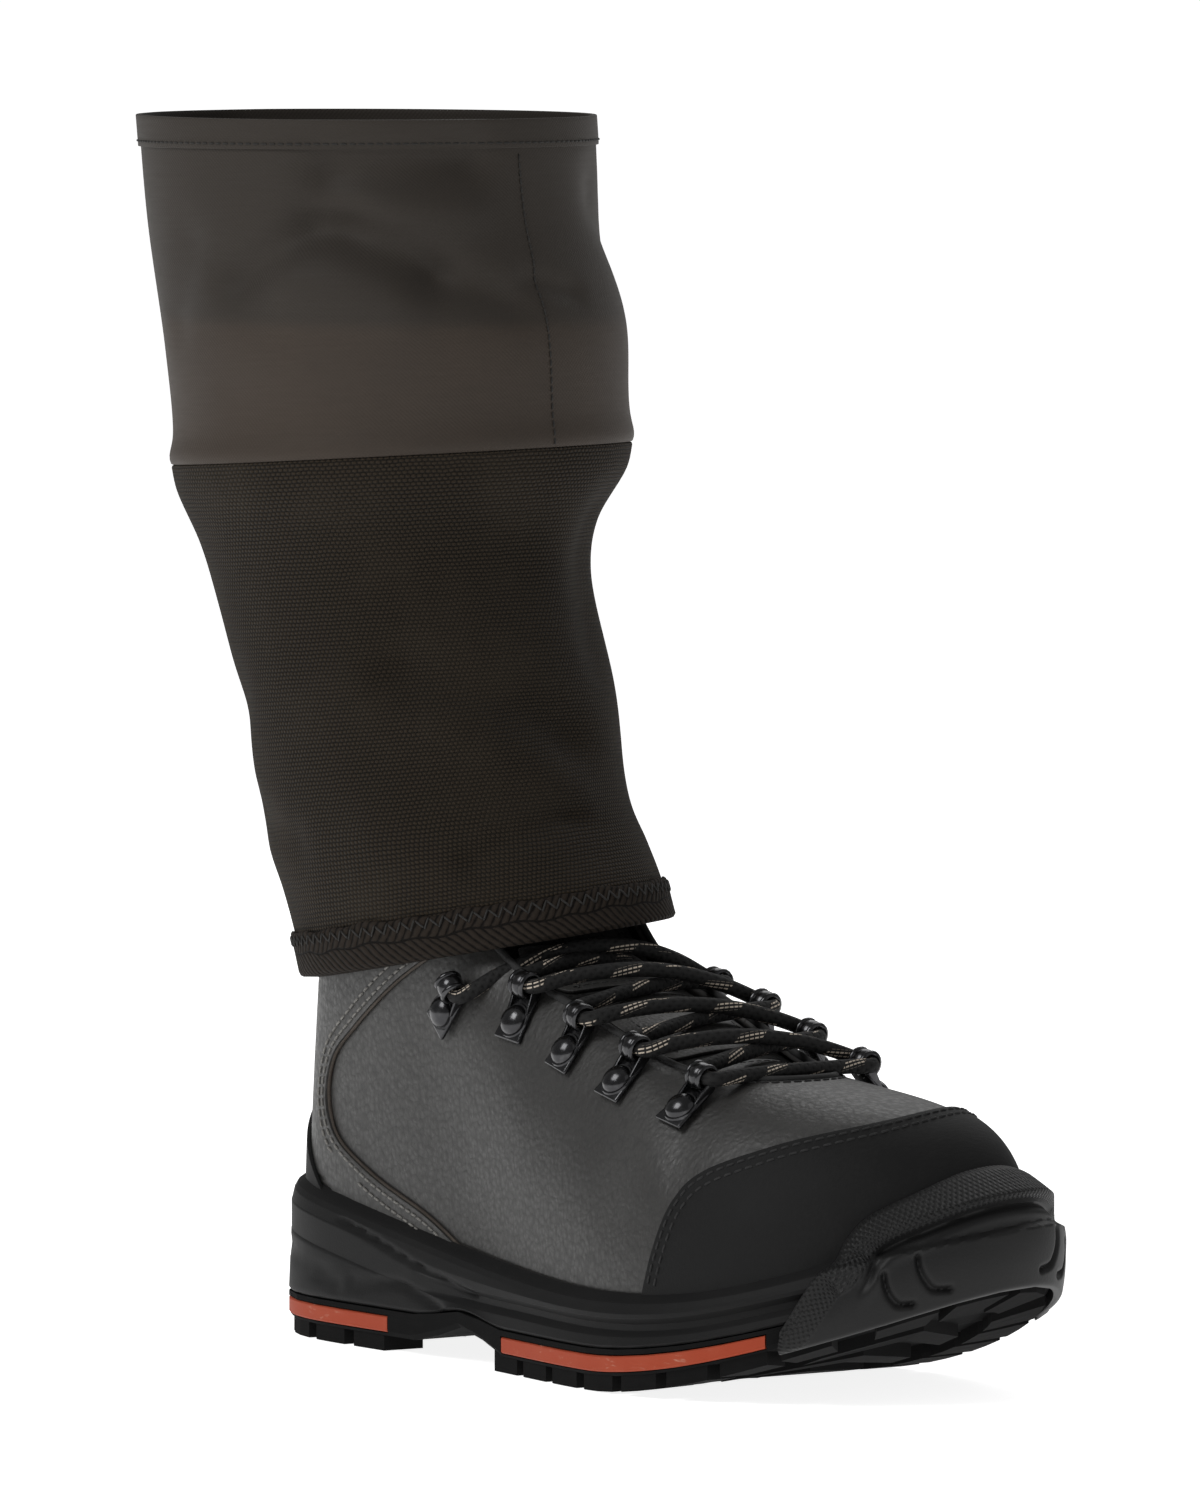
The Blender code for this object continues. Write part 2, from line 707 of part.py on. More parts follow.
def hook_plate_points():
    length, width, thick = HOOK_PLATE
    corner = 2.0
    low, high = -HOOK_RIVET_RADIUS - 1.0, width - HOOK_RIVET_RADIUS - 1.0
    outline = [
        (-length / 2 + corner, low), (length / 2 - corner, low), (length / 2, low + corner),
        (length / 2 - 0.8, high), (-length / 2 + 0.8, high), (-length / 2, low + corner),
    ]
    return [[(x, y, z) for x, y in outline] for z in (0, thick)]


def hook_rivet_rings():
    sides = 8
    profile = [(1.0, 0.6), (1.0, 0.35 + HOOK_PLATE[2]), (0.72, 0.75), (0.3, 1.0)]
    rings = []
    for k, (radius, height) in enumerate(profile):
        z = height if k < 2 else HOOK_PLATE[2] + HOOK_RIVET_HEIGHT * height
        rings.append([
            (
                HOOK_RIVET_RADIUS * radius * math.cos(2 * math.pi * i / sides),
                HOOK_RIVET_RADIUS * radius * math.sin(2 * math.pi * i / sides),
                z,
            )
            for i in range(sides)
        ])
    return rings


def hook_loop_rings():
    """A short sleeve along the eyestay that the lace runs through."""
    sides = 8
    outer, inner = HOOK_LOOP_INNER + HOOK_LOOP_WALL, HOOK_LOOP_INNER
    lift = HOOK_LOOP_INNER + HOOK_LOOP_WALL - 0.2
    half = HOOK_LOOP_LENGTH / 2
    rings = []
    for x, radius in ((-half, outer), (half, outer), (half, inner), (-half, inner)):
        rings.append([
            (
                x,
                HOOK_LOOP_REACH + radius * math.cos(2 * math.pi * i / sides),
                lift + radius * math.sin(2 * math.pi * i / sides),
            )
            for i in range(sides)
        ])
    return rings


def build_hook(index, side, parts, cutters):
    name = f"hook_{side}_{index + 1}"
    frame = hook_frame(index, side)

    def in_place(rings):
        return [placed(ring, frame) for ring in rings]
    plate = mesh_from(name, *band_loft(in_place(hook_plate_points())))
    hook = new_object(name, plate, parts)
    rivet = mesh_from(name + "_rivet", *band_loft(in_place(hook_rivet_rings())))
    loop = mesh_from(name + "_loop", *tube_loft(in_place(hook_loop_rings())))
    for mesh in (rivet, loop):
        piece = new_object(mesh.name, mesh, cutters)
        apply_boolean(hook, piece, "UNION")
    return hook


def lace_end(index, side):
    """Where the lace's middle leaves a hook's loop."""
    frame = hook_frame(index, side)
    lift = HOOK_LOOP_INNER + HOOK_LOOP_WALL - 0.2
    return placed([(0.0, HOOK_LOOP_REACH, lift)], frame)[0], frame


def lace_strand(start, end, lift):
    """Middle line of a strand that bows over the tongue between two hooks.

    start and end each give a hook's row, its side of the foot and the way the strand leaves its
    loop: 1 towards the toe, -1 towards the collar.
    """
    ends = []
    for row, side, way in (start, end):
        point, frame = lace_end(row, side)
        ends.append(point + way * LACE_CLEAR * frame[1] + 0.8 * frame[2])
    a, b = ends
    steps = 8
    line = []
    for k in range(steps + 1):
        share = k / steps
        bow = math.sin(math.pi * share) ** 0.9
        line.append(a + share * (b - a) + lift * bow * TONGUE_UP)
    return line


def tube_round(line, radius, sides=6):
    """Sections of a round cord along a line."""
    sections = []
    for k, point in enumerate(line):
        ahead = line[min(k + 1, len(line) - 1)]
        behind = line[max(k - 1, 0)]
        way = (ahead - behind) / np.linalg.norm(ahead - behind)
        side = np.cross(way, np.array([0.0, 0.0, 1.0]))
        side = side / np.linalg.norm(side)
        top = np.cross(side, way)
        sections.append([
            point + radius * (
                math.cos(2 * math.pi * i / sides) * side + math.sin(2 * math.pi * i / sides) * top
            )
            for i in range(sides)
        ])
    return sections


def build_laces(parts, cutters):
    """A bar at each end of the throat, and a crossing between each pair of hooks below the hem."""
    radius = LACE_DIAMETER / 2
    last = len(HOOKS) - 1
    laces = []
    for name, row, way, lift in (("lace_bar", last, 1, 5.0), ("lace_top", 1, -1, 10.0)):
        line = lace_strand((row, "outer", way), (row, "inner", way), lift)
        laces.append(new_object(name, mesh_from(name, *band_loft(tube_round(line, radius))), parts))
    for k in range(1, last):
        name = f"lace_cross_{k}"
        under = lace_strand((k, "inner", 1), (k + 1, "outer", -1), LACE_LIFT)
        over = lace_strand((k, "outer", 1), (k + 1, "inner", -1), LACE_LIFT + 1.6)
        cross = new_object(name, mesh_from(name, *band_loft(tube_round(under, radius))), parts)
        strand_name = name + "_over"
        strand = mesh_from(strand_name, *band_loft(tube_round(over, radius)))
        apply_boolean(cross, new_object(strand_name, strand, cutters), "UNION")
        laces.append(cross)
    return laces


# Leg, gravel guard and its binding

def leg_point(rings, z, angle, inset):
    """Point on the leg: rings are read by height, angle 0 faces the toe, inset moves inwards."""
    heights = [ring.z for ring in rings]
    sizes = [float(np.interp(z, heights, column)) for column in list(zip(*rings))[1:]]
    x, y, depth, width, tilt, roll = sizes
    c, s = math.cos(angle), math.sin(angle)
    return np.array([
        x + (depth - inset) * c,
        y - (width - inset) * s,
        z + tilt / 2 * c - roll / 2 * s,
    ])


def leg_tube(rings, heights, wall):
    angles = [2 * math.pi * i / LEG_AROUND for i in range(LEG_AROUND)]
    loops = [[leg_point(rings, z, angle, 0.0) for angle in angles] for z in heights]
    loops += [[leg_point(rings, z, angle, wall) for angle in angles] for z in reversed(heights)]
    return tube_loft(loops)


def build_gravel_guard(parts):
    heights = [ring.z for ring in GUARD_RINGS]
    mesh = mesh_from("gravel_guard", *leg_tube(GUARD_RINGS, heights, GUARD_WALL))
    return new_object("gravel_guard", mesh, parts)


def build_guard_binding(parts):
    """Tape folded round the guard's lower edge."""
    angles = [2 * math.pi * i / LEG_AROUND for i in range(LEG_AROUND)]
    low = GUARD_RINGS[0].z
    out, inn = -FIT_GAP - BINDING_WALL, GUARD_WALL + FIT_GAP + BINDING_WALL
    profile = [
        (low + BINDING_HEIGHT, out), (low - FIT_GAP - BINDING_WALL, out),
        (low - FIT_GAP - BINDING_WALL, inn), (low + BINDING_HEIGHT, inn),
        (low + BINDING_HEIGHT, GUARD_WALL + FIT_GAP), (low - FIT_GAP, GUARD_WALL + FIT_GAP),
        (low - FIT_GAP, -FIT_GAP), (low + BINDING_HEIGHT, -FIT_GAP),
    ]
    loops = [[leg_point(GUARD_RINGS, z, angle, inset) for angle in angles] for z, inset in profile]
    return new_object("guard_binding", mesh_from("guard_binding", *tube_loft(loops)), parts)


def build_wader_leg(parts):
    heights = [ring.z for ring in LEG_RINGS]
    mesh = mesh_from("wader_leg", *leg_tube(LEG_RINGS, heights, LEG_WALL))
    return new_object("wader_leg", mesh, parts)


# Finishes: colour, roughness, metallic
FINISHES = {
    "rubber": ((0.022, 0.022, 0.023), 0.62, 0.0),
    "inlay": ((0.36, 0.075, 0.035), 0.6, 0.0),
    "leather": ((0.105, 0.102, 0.096), 0.5, 0.0),
    "cap": ((0.012, 0.012, 0.013), 0.7, 0.0),
    "lining": ((0.018, 0.018, 0.018), 0.9, 0.0),
    "metal": ((0.015, 0.015, 0.016), 0.25, 1.0),
    "lace": ((0.03, 0.03, 0.032), 0.8, 0.0),
    "knit": ((0.022, 0.02, 0.015), 0.95, 0.0),
    "cloth": ((0.055, 0.05, 0.043), 0.85, 0.0),
}


def finish(name):
    material = bpy.data.materials.new(name)
    material.use_nodes = True
    shader = material.node_tree.nodes["Principled BSDF"]
    colour, roughness, metallic = FINISHES[name]
    shader.inputs["Base Color"].default_value = (*colour, 1.0)
    shader.inputs["Roughness"].default_value = roughness
    shader.inputs["Metallic"].default_value = metallic
    material.diffuse_color = (*colour, 1.0)
    return material


def new_collection(name):
    collection = bpy.data.collections.new(name)
    bpy.context.scene.collection.children.link(collection)
    return collection


def centre_over_origin(root, pieces):
    """Moves the root so that the whole part stands on z = 0, centred over the origin."""
    bpy.context.view_layer.update()
    graph = bpy.context.evaluated_depsgraph_get()
    corners = []
    for piece in pieces:
        mesh = piece.evaluated_get(graph).to_mesh()
        corners += [piece.matrix_world @ vertex.co for vertex in mesh.vertices]
        piece.evaluated_get(graph).to_mesh_clear()
    low = Vector([min(c[axis] for c in corners) for axis in range(3)])
    high = Vector([max(c[axis] for c in corners) for axis in range(3)])
    root.location = (-(low.x + high.x) / 2, -(low.y + high.y) / 2, -low.z)


def main():
    for thing in list(bpy.data.objects):
        bpy.data.objects.remove(thing)
    parts = new_collection("wading_boot_and_leg")
    cutters = new_collection("cutters")
    groups = {
        "rubber": [build_outsole(parts, cutters), build_midsole(parts), build_toe_bumper(parts)],
        "inlay": build_stripes(parts),
        "leather": [build_upper(parts), build_heel_counter(parts, cutters)],
        "cap": [build_toe_cap(parts)],
        "lining": [build_tongue(parts), build_insole(parts)],
        "metal": [
            build_hook(index, side, parts, cutters)
            for side in ("outer", "inner") for index in range(len(HOOKS))
        ],
        "lace": build_laces(parts, cutters),
        "knit": [build_gravel_guard(parts), build_guard_binding(parts)],
        "cloth": [build_wader_leg(parts)],
    }
    root = bpy.data.objects.new("boot_root", None)
    parts.objects.link(root)
    pieces = [piece for group in groups.values() for piece in group]
    for name, group in groups.items():
        material = finish(name)
        for piece in group:
            piece.data.materials.append(material)
    for thing in pieces + list(cutters.objects):
        thing.parent = root
    centre_over_origin(root, pieces)


main()
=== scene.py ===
"""Looks of a right wading boot and the wader leg worn over it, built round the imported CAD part.

Sizes are in millimetres in the boot's own frame: heel back at x = 0, toe along +X, the outer side
of the foot at -Y and the floor at z = 0. Every piece is then moved into the frame's place, in
metres.
"""

from __future__ import annotations

import json
import logging
import math
from dataclasses import dataclass
from enum import Enum
from typing import Callable, Optional, Sequence, Union

import bpy
import numpy as np
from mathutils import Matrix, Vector
from mathutils.bvhtree import BVHTree

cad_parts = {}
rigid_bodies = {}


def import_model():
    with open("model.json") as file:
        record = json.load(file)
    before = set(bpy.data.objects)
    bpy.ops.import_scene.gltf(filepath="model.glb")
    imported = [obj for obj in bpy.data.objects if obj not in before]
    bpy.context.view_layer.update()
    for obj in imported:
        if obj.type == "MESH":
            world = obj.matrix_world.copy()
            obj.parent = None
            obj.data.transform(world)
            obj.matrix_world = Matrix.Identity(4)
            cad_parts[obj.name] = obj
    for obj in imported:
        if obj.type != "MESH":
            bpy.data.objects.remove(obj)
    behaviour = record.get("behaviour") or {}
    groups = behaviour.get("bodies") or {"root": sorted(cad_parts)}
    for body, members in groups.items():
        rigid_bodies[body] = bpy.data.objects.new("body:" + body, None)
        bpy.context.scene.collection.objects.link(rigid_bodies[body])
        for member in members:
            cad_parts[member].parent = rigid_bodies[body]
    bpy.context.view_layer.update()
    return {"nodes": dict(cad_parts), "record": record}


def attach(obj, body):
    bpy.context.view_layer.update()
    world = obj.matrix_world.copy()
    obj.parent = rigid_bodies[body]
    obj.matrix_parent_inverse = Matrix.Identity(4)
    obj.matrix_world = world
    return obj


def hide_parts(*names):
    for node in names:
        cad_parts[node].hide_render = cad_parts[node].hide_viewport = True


LOG = logging.getLogger("wading_boot")
MM = 0.001
BODY = "root"
INSTEP_UP = (0.45, 0.0, 0.893)      # square to the instep, away from the foot
Array = np.ndarray
Numbers = Union[float, Array]
Rows = Sequence[Sequence[float]]
Place = Callable[[Array, Array], Array]
Piece = bpy.types.Object
Pair = tuple[float, float]
Point = tuple[float, float, float]
Colour = Point


class Side(Enum):
    """The two sides of the foot."""

    OUTER = "outer"
    INNER = "inner"

    def around(self, u: Numbers) -> Numbers:
        """Places round the foot on this side, for places given on the outer side."""
        return u if self is Side.OUTER else 1.0 - u


class Coords(Enum):
    """What a pattern is laid out on."""

    OBJECT = "Object"
    UV = "UV"


# Shader expressions

class Sock:
    """A shader output whose arithmetic adds Math nodes."""

    def __init__(self, shade: "Shade", socket: bpy.types.NodeSocket) -> None:
        """Wraps a socket of a material that is being made."""
        self.shade = shade
        self.socket = socket

    def _math(self, operation: str, first: "Value", second: "Value" = 0.0) -> "Sock":
        """One Math node."""
        return self.shade.node("ShaderNodeMath", {"operation": operation}, {0: first, 1: second})

    def __add__(self, other: "Value") -> "Sock":
        """Sum."""
        return self._math("ADD", self, other)

    __radd__ = __add__

    def __sub__(self, other: "Value") -> "Sock":
        """Difference."""
        return self._math("SUBTRACT", self, other)

    def __rsub__(self, other: "Value") -> "Sock":
        """Difference, from a number."""
        return self._math("SUBTRACT", other, self)

    def __mul__(self, other: "Value") -> "Sock":
        """Product."""
        return self._math("MULTIPLY", self, other)

    __rmul__ = __mul__

    def __truediv__(self, other: "Value") -> "Sock":
        """Quotient."""
        return self._math("DIVIDE", self, other)

    def sine(self) -> "Sock":
        """Sine."""
        return self._math("SINE", self)

    def fraction(self) -> "Sock":
        """Part after the decimal point."""
        return self._math("FRACT", self)

    def size(self) -> "Sock":
        """Value without its sign."""
        return self._math("ABSOLUTE", self)

    def highest(self, other: "Value") -> "Sock":
        """The larger of two."""
        return self._math("MAXIMUM", self, other)

    def step(self, low: float, high: float) -> "Sock":
        """Smooth step from 0 at low to 1 at high."""
        return self.shade.node(
            "ShaderNodeMapRange",
            {"interpolation_type": "SMOOTHSTEP"},
            {"Value": self, "From Min": low, "From Max": high},
        )


Value = Union[Sock, float]


class Shade:
    """A material in the making: a Principled shader and the nodes that feed it."""

    def __init__(self, name: str) -> None:
        """Makes a material with an empty Principled shader.

        Args:
            name: name of the material.
        """
        self.material = bpy.data.materials.new(name)
        self.material.use_nodes = True
        self.tree = self.material.node_tree
        self.shader = self.tree.nodes["Principled BSDF"]

    def link(self, target: bpy.types.NodeSocket, value: object) -> None:
        """Links a wrapped socket to an input, or sets a plain value on it."""
        if isinstance(value, Sock):
            self.tree.links.new(value.socket, target)
        elif hasattr(target.default_value, "__len__") and len(target.default_value) == 4:
            target.default_value = (*value[:3], 1.0)
        else:
            target.default_value = value

    def node(
        self,
        kind: str,
        settings: Optional[dict[str, object]] = None,
        inputs: Optional[dict[Union[str, int], object]] = None,
        output: Union[str, int] = 0,
    ) -> Sock:
        """Adds a node.

        Args:
            kind: Blender's type of node.
            settings: its properties, set first.
            inputs: values or links of its sockets.
            output: which output is wanted.

        Returns:
            That output.
        """
        node = self.tree.nodes.new(kind)
        for key, value in (settings or {}).items():
            setattr(node, key, value)
        for key, value in (inputs or {}).items():
            self.link(node.inputs[key], value)
        return Sock(self, node.outputs[output])

    def set(self, **values: object) -> None:
        """Sets or links the shader's own sockets, by their names with _ for a space."""
        for key, value in values.items():
            self.link(self.shader.inputs[key.replace("_", " ")], value)

    def coords(self, kind: Coords, scale: Sequence[float] = (1.0, 1.0, 1.0)) -> Sock:
        """Coordinates of the surface, stretched along each axis."""
        place = self.node("ShaderNodeTexCoord", output=kind.value)
        return self.node("ShaderNodeMapping", inputs={"Vector": place, "Scale": scale})

    def axes(self, place: Sock) -> tuple[Sock, Sock, Sock]:
        """The three numbers of a vector."""
        split = self.node("ShaderNodeSeparateXYZ", inputs={0: place}).socket.node
        return tuple(Sock(self, output) for output in split.outputs)

    def noise(self, place: Sock, scale: float, detail: float = 2.0, output: str = "Fac") -> Sock:
        """Smooth noise, scale in lumps for each metre."""
        return self.node(
            "ShaderNodeTexNoise",
            inputs={"Vector": place, "Scale": scale, "Detail": detail, "Roughness": 0.55},
            output=output,
        )

    def lumps(self, scale: float, detail: float = 2.0,
              stretch: Sequence[float] = (1.0, 1.0, 1.0)) -> Sock:
        """Smooth noise laid out on the object, stretched along each axis."""
        return self.noise(self.coords(Coords.OBJECT, stretch), scale, detail)

    def cells(self, place: Sock, scale: float) -> Sock:
        """Distance in a cell pattern, scale in cells for each metre."""
        return self.node("ShaderNodeTexVoronoi", {"feature": "F1"},
                         {"Vector": place, "Scale": scale}, output="Distance")

    def warp(self, place: Sock, scale: float, amount: float) -> Sock:
        """Coordinates pushed about by noise, by up to amount in metres."""
        push = self.noise(place, scale, 2.0, "Color")
        centred = self.node("ShaderNodeVectorMath", {"operation": "SUBTRACT"},
                            {0: push, 1: (0.5, 0.5, 0.5)})
        scaled = self.node("ShaderNodeVectorMath", {"operation": "SCALE"},
                           {0: centred, "Scale": 2 * amount})
        return self.node("ShaderNodeVectorMath", {"operation": "ADD"}, {0: place, 1: scaled})

    def mix(self, factor: Value, first: object, second: object) -> Sock:
        """Colour between two, by factor."""
        return self.node("ShaderNodeMix", {"data_type": "RGBA"},
                         {0: factor, 6: first, 7: second}, output=2)

    def bump(self, height: Sock, distance: float) -> Sock:
        """Normal of a relief whose height runs from 0 to 1 over a distance in metres."""
        return self.node("ShaderNodeBump", inputs={"Height": height, "Distance": distance})


# Finishes

@dataclass(frozen=True)
class Finish:
    """How a surface looks. Each kind paints its own nodes."""

    name: str

    def material(self) -> bpy.types.Material:
        """Makes the material."""
        shade = Shade(self.name)
        self.paint(shade)
        return shade.material

    def paint(self, shade: Shade) -> None:
        """Adds the finish's nodes to a new material."""
        raise NotImplementedError


@dataclass(frozen=True)
class Leather(Finish):
    """Coated synthetic leather with a fine pebble grain."""

    colour: Colour = (0.0262, 0.0254, 0.0240)
    worn: Colour = (0.0335, 0.0328, 0.0312)
    # painted shade: the darker colour of the valleys between pebbles
    valley_shade: Colour = (0.0150, 0.0148, 0.0142)
    pebble: float = 0.0019
    relief: float = 0.00025
    roughness: float = 0.46

    def paint(self, shade: Shade) -> None:
        """Pebbles of uneven size, broad cloudy tone and faint drawn creases; painted shade darkens the
        valleys between pebbles.
        """
        place = shade.coords(Coords.OBJECT)
        bent = shade.warp(place, 260.0, 0.0010)
        pebbles = 1.0 - shade.cells(bent, 1.0 / self.pebble)
        fine = shade.lumps(3200.0, 3.0)
        broad = shade.lumps(24.0, 3.0)
        drawn = shade.lumps(560.0, 4.0, (1.0, 1.0, 0.5))
        height = 0.45 * pebbles + 0.10 * fine + 0.8 * drawn
        tone = shade.mix(broad.step(0.35, 0.7), self.colour, self.worn)
        # painted shade: the low parts between pebbles are mixed towards the darker valley colour
        tone = shade.mix((1.0 - pebbles).step(0.45, 0.85) * 0.5, tone, self.valley_shade)
        shade.set(
            Base_Color=tone,
            Roughness=self.roughness + 0.12 * broad - 0.10 * pebbles.step(0.3, 0.9),
            Normal=shade.bump(height, self.relief),
        )


@dataclass(frozen=True)
class Rubber(Finish):
    """Moulded rubber: nearly black, a little dusty, with a fine moulded tooth."""

    colour: Colour = (0.0070, 0.0070, 0.0071)
    dusty: Colour = (0.0112, 0.0110, 0.0108)
    tooth: float = 0.0006
    relief: float = 0.00005
    roughness: float = 0.52
    gloss: float = 0.22

    def paint(self, shade: Shade) -> None:
        """Fine tooth, cloudy dust and uneven gloss."""
        tooth = shade.lumps(1.0 / self.tooth, 2.0)
        cloud = shade.lumps(38.0, 4.0)
        scuff = shade.lumps(700.0, 3.0, (0.2, 0.2, 1.0))
        dust = (cloud * 0.7 + scuff * 0.3).step(0.42, 0.72)
        shade.set(
            Base_Color=shade.mix(dust * 0.6, self.colour, self.dusty),
            Roughness=self.roughness + 0.16 * cloud,
            Specular_IOR_Level=self.gloss,
            Normal=shade.bump(tooth + 0.4 * scuff, self.relief),
        )


@dataclass(frozen=True)
class PointedRubber(Finish):
    """Rubber of the toe bumper: small moulded pyramids along its rim, a fine tooth below."""

    colour: Colour = (0.0075, 0.0075, 0.0076)
    dusty: Colour = (0.0120, 0.0117, 0.0114)
    pitch: float = 0.0019
    rim: Pair = (0.0078, 0.0088)

    def paint(self, shade: Shade) -> None:
        """Pyramids on the rim's own length and width; the width is counted from the edge. Their points
        are paler, a painted highlight.
        """
        along, across, _ = shade.axes(shade.coords(Coords.UV))
        first = ((along + across) / self.pitch).fraction()
        second = ((along - across) / self.pitch).fraction()
        point = (1.0 - (first - 0.5).size() * 2.0) * (1.0 - (second - 0.5).size() * 2.0)
        on_rim = 1.0 - across.step(*self.rim)
        tooth = shade.lumps(1300.0, 2.0)
        cloud = shade.lumps(45.0, 4.0)
        dust = shade.mix(cloud.step(0.4, 0.7) * 0.5, self.colour, self.dusty)
        shade.set(
            # painted highlight: the pyramids' points on the rim are mixed towards a paler grey
            Base_Color=shade.mix(on_rim * point.step(0.3, 0.9) * 0.8, dust, (0.016, 0.016, 0.016)),
            Roughness=0.46 + 0.14 * cloud,
            Specular_IOR_Level=0.24,
            Normal=shade.bump(on_rim * point + 0.13 * tooth, 0.00045),
        )


@dataclass(frozen=True)
class Inlay(Finish):
    """Brick-coloured rubber with scuffs where stones have rubbed it."""

    colour: Colour = (0.310, 0.044, 0.016)
    faded: Colour = (0.34, 0.070, 0.034)

    def paint(self, shade: Shade) -> None:
        """Cloudy tone with a few pale scrapes."""
        cloud = shade.lumps(90.0, 4.0)
        scrape = shade.lumps(900.0, 4.0, (0.25, 0.25, 1.0))
        pale = scrape.step(0.56, 0.70) * cloud.step(0.45, 0.65)
        tone = shade.mix(cloud.step(0.3, 0.75) * 0.5, self.colour, self.faded)
        shade.set(
            Base_Color=shade.mix(pale, tone, (0.42, 0.20, 0.14)),
            Roughness=0.55 + 0.2 * cloud,
            Specular_IOR_Level=0.2,
            Normal=shade.bump(scrape + cloud, 0.00008),
        )


@dataclass(frozen=True)
class BrushedCap(Finish):
    """Matt coated cap over the toes, with a fine directional tooth."""

    colour: Colour = (0.0052, 0.0052, 0.0053)
    dusty: Colour = (0.0098, 0.0096, 0.0094)

    def paint(self, shade: Shade) -> None:
        """Short streaks across the foot over a fine grain."""
        streak = shade.lumps(1500.0, 3.0, (1.0, 0.25, 0.6))
        grain = shade.lumps(2400.0, 2.0)
        cloud = shade.lumps(45.0, 3.0)
        dust = (streak * 0.5 + cloud * 0.5).step(0.45, 0.68)
        shade.set(
            Base_Color=shade.mix(dust * 0.55, self.colour, self.dusty),
            Roughness=0.60 + 0.16 * cloud,
            Specular_IOR_Level=0.20,
            Normal=shade.bump(streak + 0.5 * grain, 0.00009),
        )


@dataclass(frozen=True)
class RibKnit(Finish):
    """Stretch knit over neoprene: staggered short loops in level rows."""

    colour: Colour = (0.0264, 0.0194, 0.0126)
    # painted shade for the hollows between loops
    hollow: Colour = (0.0060, 0.0048, 0.0034)
    row: float = 0.00115
    loop: float = 0.0015
    relief: float = 0.0005

    def paint(self, shade: Shade) -> None:
        """Loops on the tube's own girth and height, a little uneven, with painted shade darkening the
        hollows between them.
        """
        uneven = shade.warp(shade.coords(Coords.UV), 160.0, 0.0003)
        along, up, _ = shade.axes(uneven)
        rows = up / self.row
        within = rows.fraction()
        shift = 0.5 * (rows - within)
        arch = (math.pi * (along / self.loop + shift).fraction()).sine()
        ridge = (math.pi * within).sine()
        height = ridge * (0.15 + 0.85 * arch)
        cloud = shade.lumps(30.0, 3.0)
        fuzz = shade.lumps(2200.0, 2.0)
        # painted shade: the low parts between loops are mixed towards the dark hollow colour
        tone = shade.mix(height.step(0.1, 0.75), self.hollow, self.colour)
        shade.set(
            Base_Color=shade.mix(cloud.step(0.4, 0.7) * 0.25, tone, (0.034, 0.027, 0.019)),
            Roughness=0.86 + 0.1 * fuzz,
            Specular_IOR_Level=0.12,
            Normal=shade.bump(height + 0.12 * fuzz, self.relief),
            Sheen_Weight=0.03,
            Sheen_Roughness=0.5,
        )


@dataclass(frozen=True)
class Herringbone(Finish):
    """Woven tape whose ribs slant one way on its upper half and the other way on its lower."""

    colour: Colour = (0.0190, 0.0145, 0.0112)
    # painted shade for the grooves between ribs
    hollow: Colour = (0.0038, 0.0030, 0.0024)
    pitch: float = 0.0027
    slant: float = 0.95
    relief: float = 0.0005

    def paint(self, shade: Shade) -> None:
        """Ribs on the tape's own length and width; the width is counted from its middle. Painted shade
        darkens the grooves between ribs and along the middle.
        """
        along, across, _ = shade.axes(shade.warp(shade.coords(Coords.UV), 300.0, 0.00015))
        ribs = ((along + self.slant * across.size()) / self.pitch).fraction()
        ridge = (math.pi * ribs).sine()
        yarn = ((along - 1.4 * across.size()) / 0.0008).sine() * 0.5 + 0.5
        groove = across.size().step(0.0, 0.0005)
        height = ridge * groove + 0.2 * yarn
        # painted shade: the low parts of the relief are mixed towards the dark hollow colour
        tone = shade.mix(height.step(0.15, 0.9), self.hollow, self.colour)
        shade.set(Base_Color=tone, Roughness=0.9, Normal=shade.bump(height, self.relief),
                  Specular_IOR_Level=0.12)


@dataclass(frozen=True)
class WovenCloth(Finish):
    """Laminated nylon: a fine plain weave, with a browner doubled band at its foot."""

    colour: Colour = (0.0258, 0.0204, 0.0156)
    brown: Colour = (0.0412, 0.0296, 0.0212)
    thread: float = 0.00062
    band: Pair = (0.294, 0.2995)

    def paint(self, shade: Shade) -> None:
        """Threads over and under on the tube's own girth and height; the band goes by height."""
        along, up, _ = shade.axes(shade.coords(Coords.UV))
        warp = (along * (math.pi / self.thread)).sine()
        weft = (up * (math.pi / self.thread)).sine()
        weave = warp * weft * 0.5 + 0.5
        cloud = shade.lumps(18.0, 4.0)
        slub = shade.noise(shade.coords(Coords.UV, (0.08, 1.0, 1.0)), 900.0, 2.0)
        _, _, height = shade.axes(shade.coords(Coords.OBJECT))
        low = 1.0 - height.step(*self.band)
        tone = shade.mix(low, self.colour, self.brown)
        tone = shade.mix(cloud.step(0.35, 0.75) * 0.35, tone, (0.020, 0.0164, 0.0132))
        tone = shade.mix(weave * 0.3 + slub * 0.2, tone, (0.025, 0.0208, 0.0170))
        shade.set(
            Base_Color=tone,
            Roughness=0.62 + 0.14 * slub,
            Specular_IOR_Level=0.25,
            Normal=shade.bump(weave + 0.5 * slub, 0.00007),
            Sheen_Weight=0.04,
            Sheen_Roughness=0.45,
        )


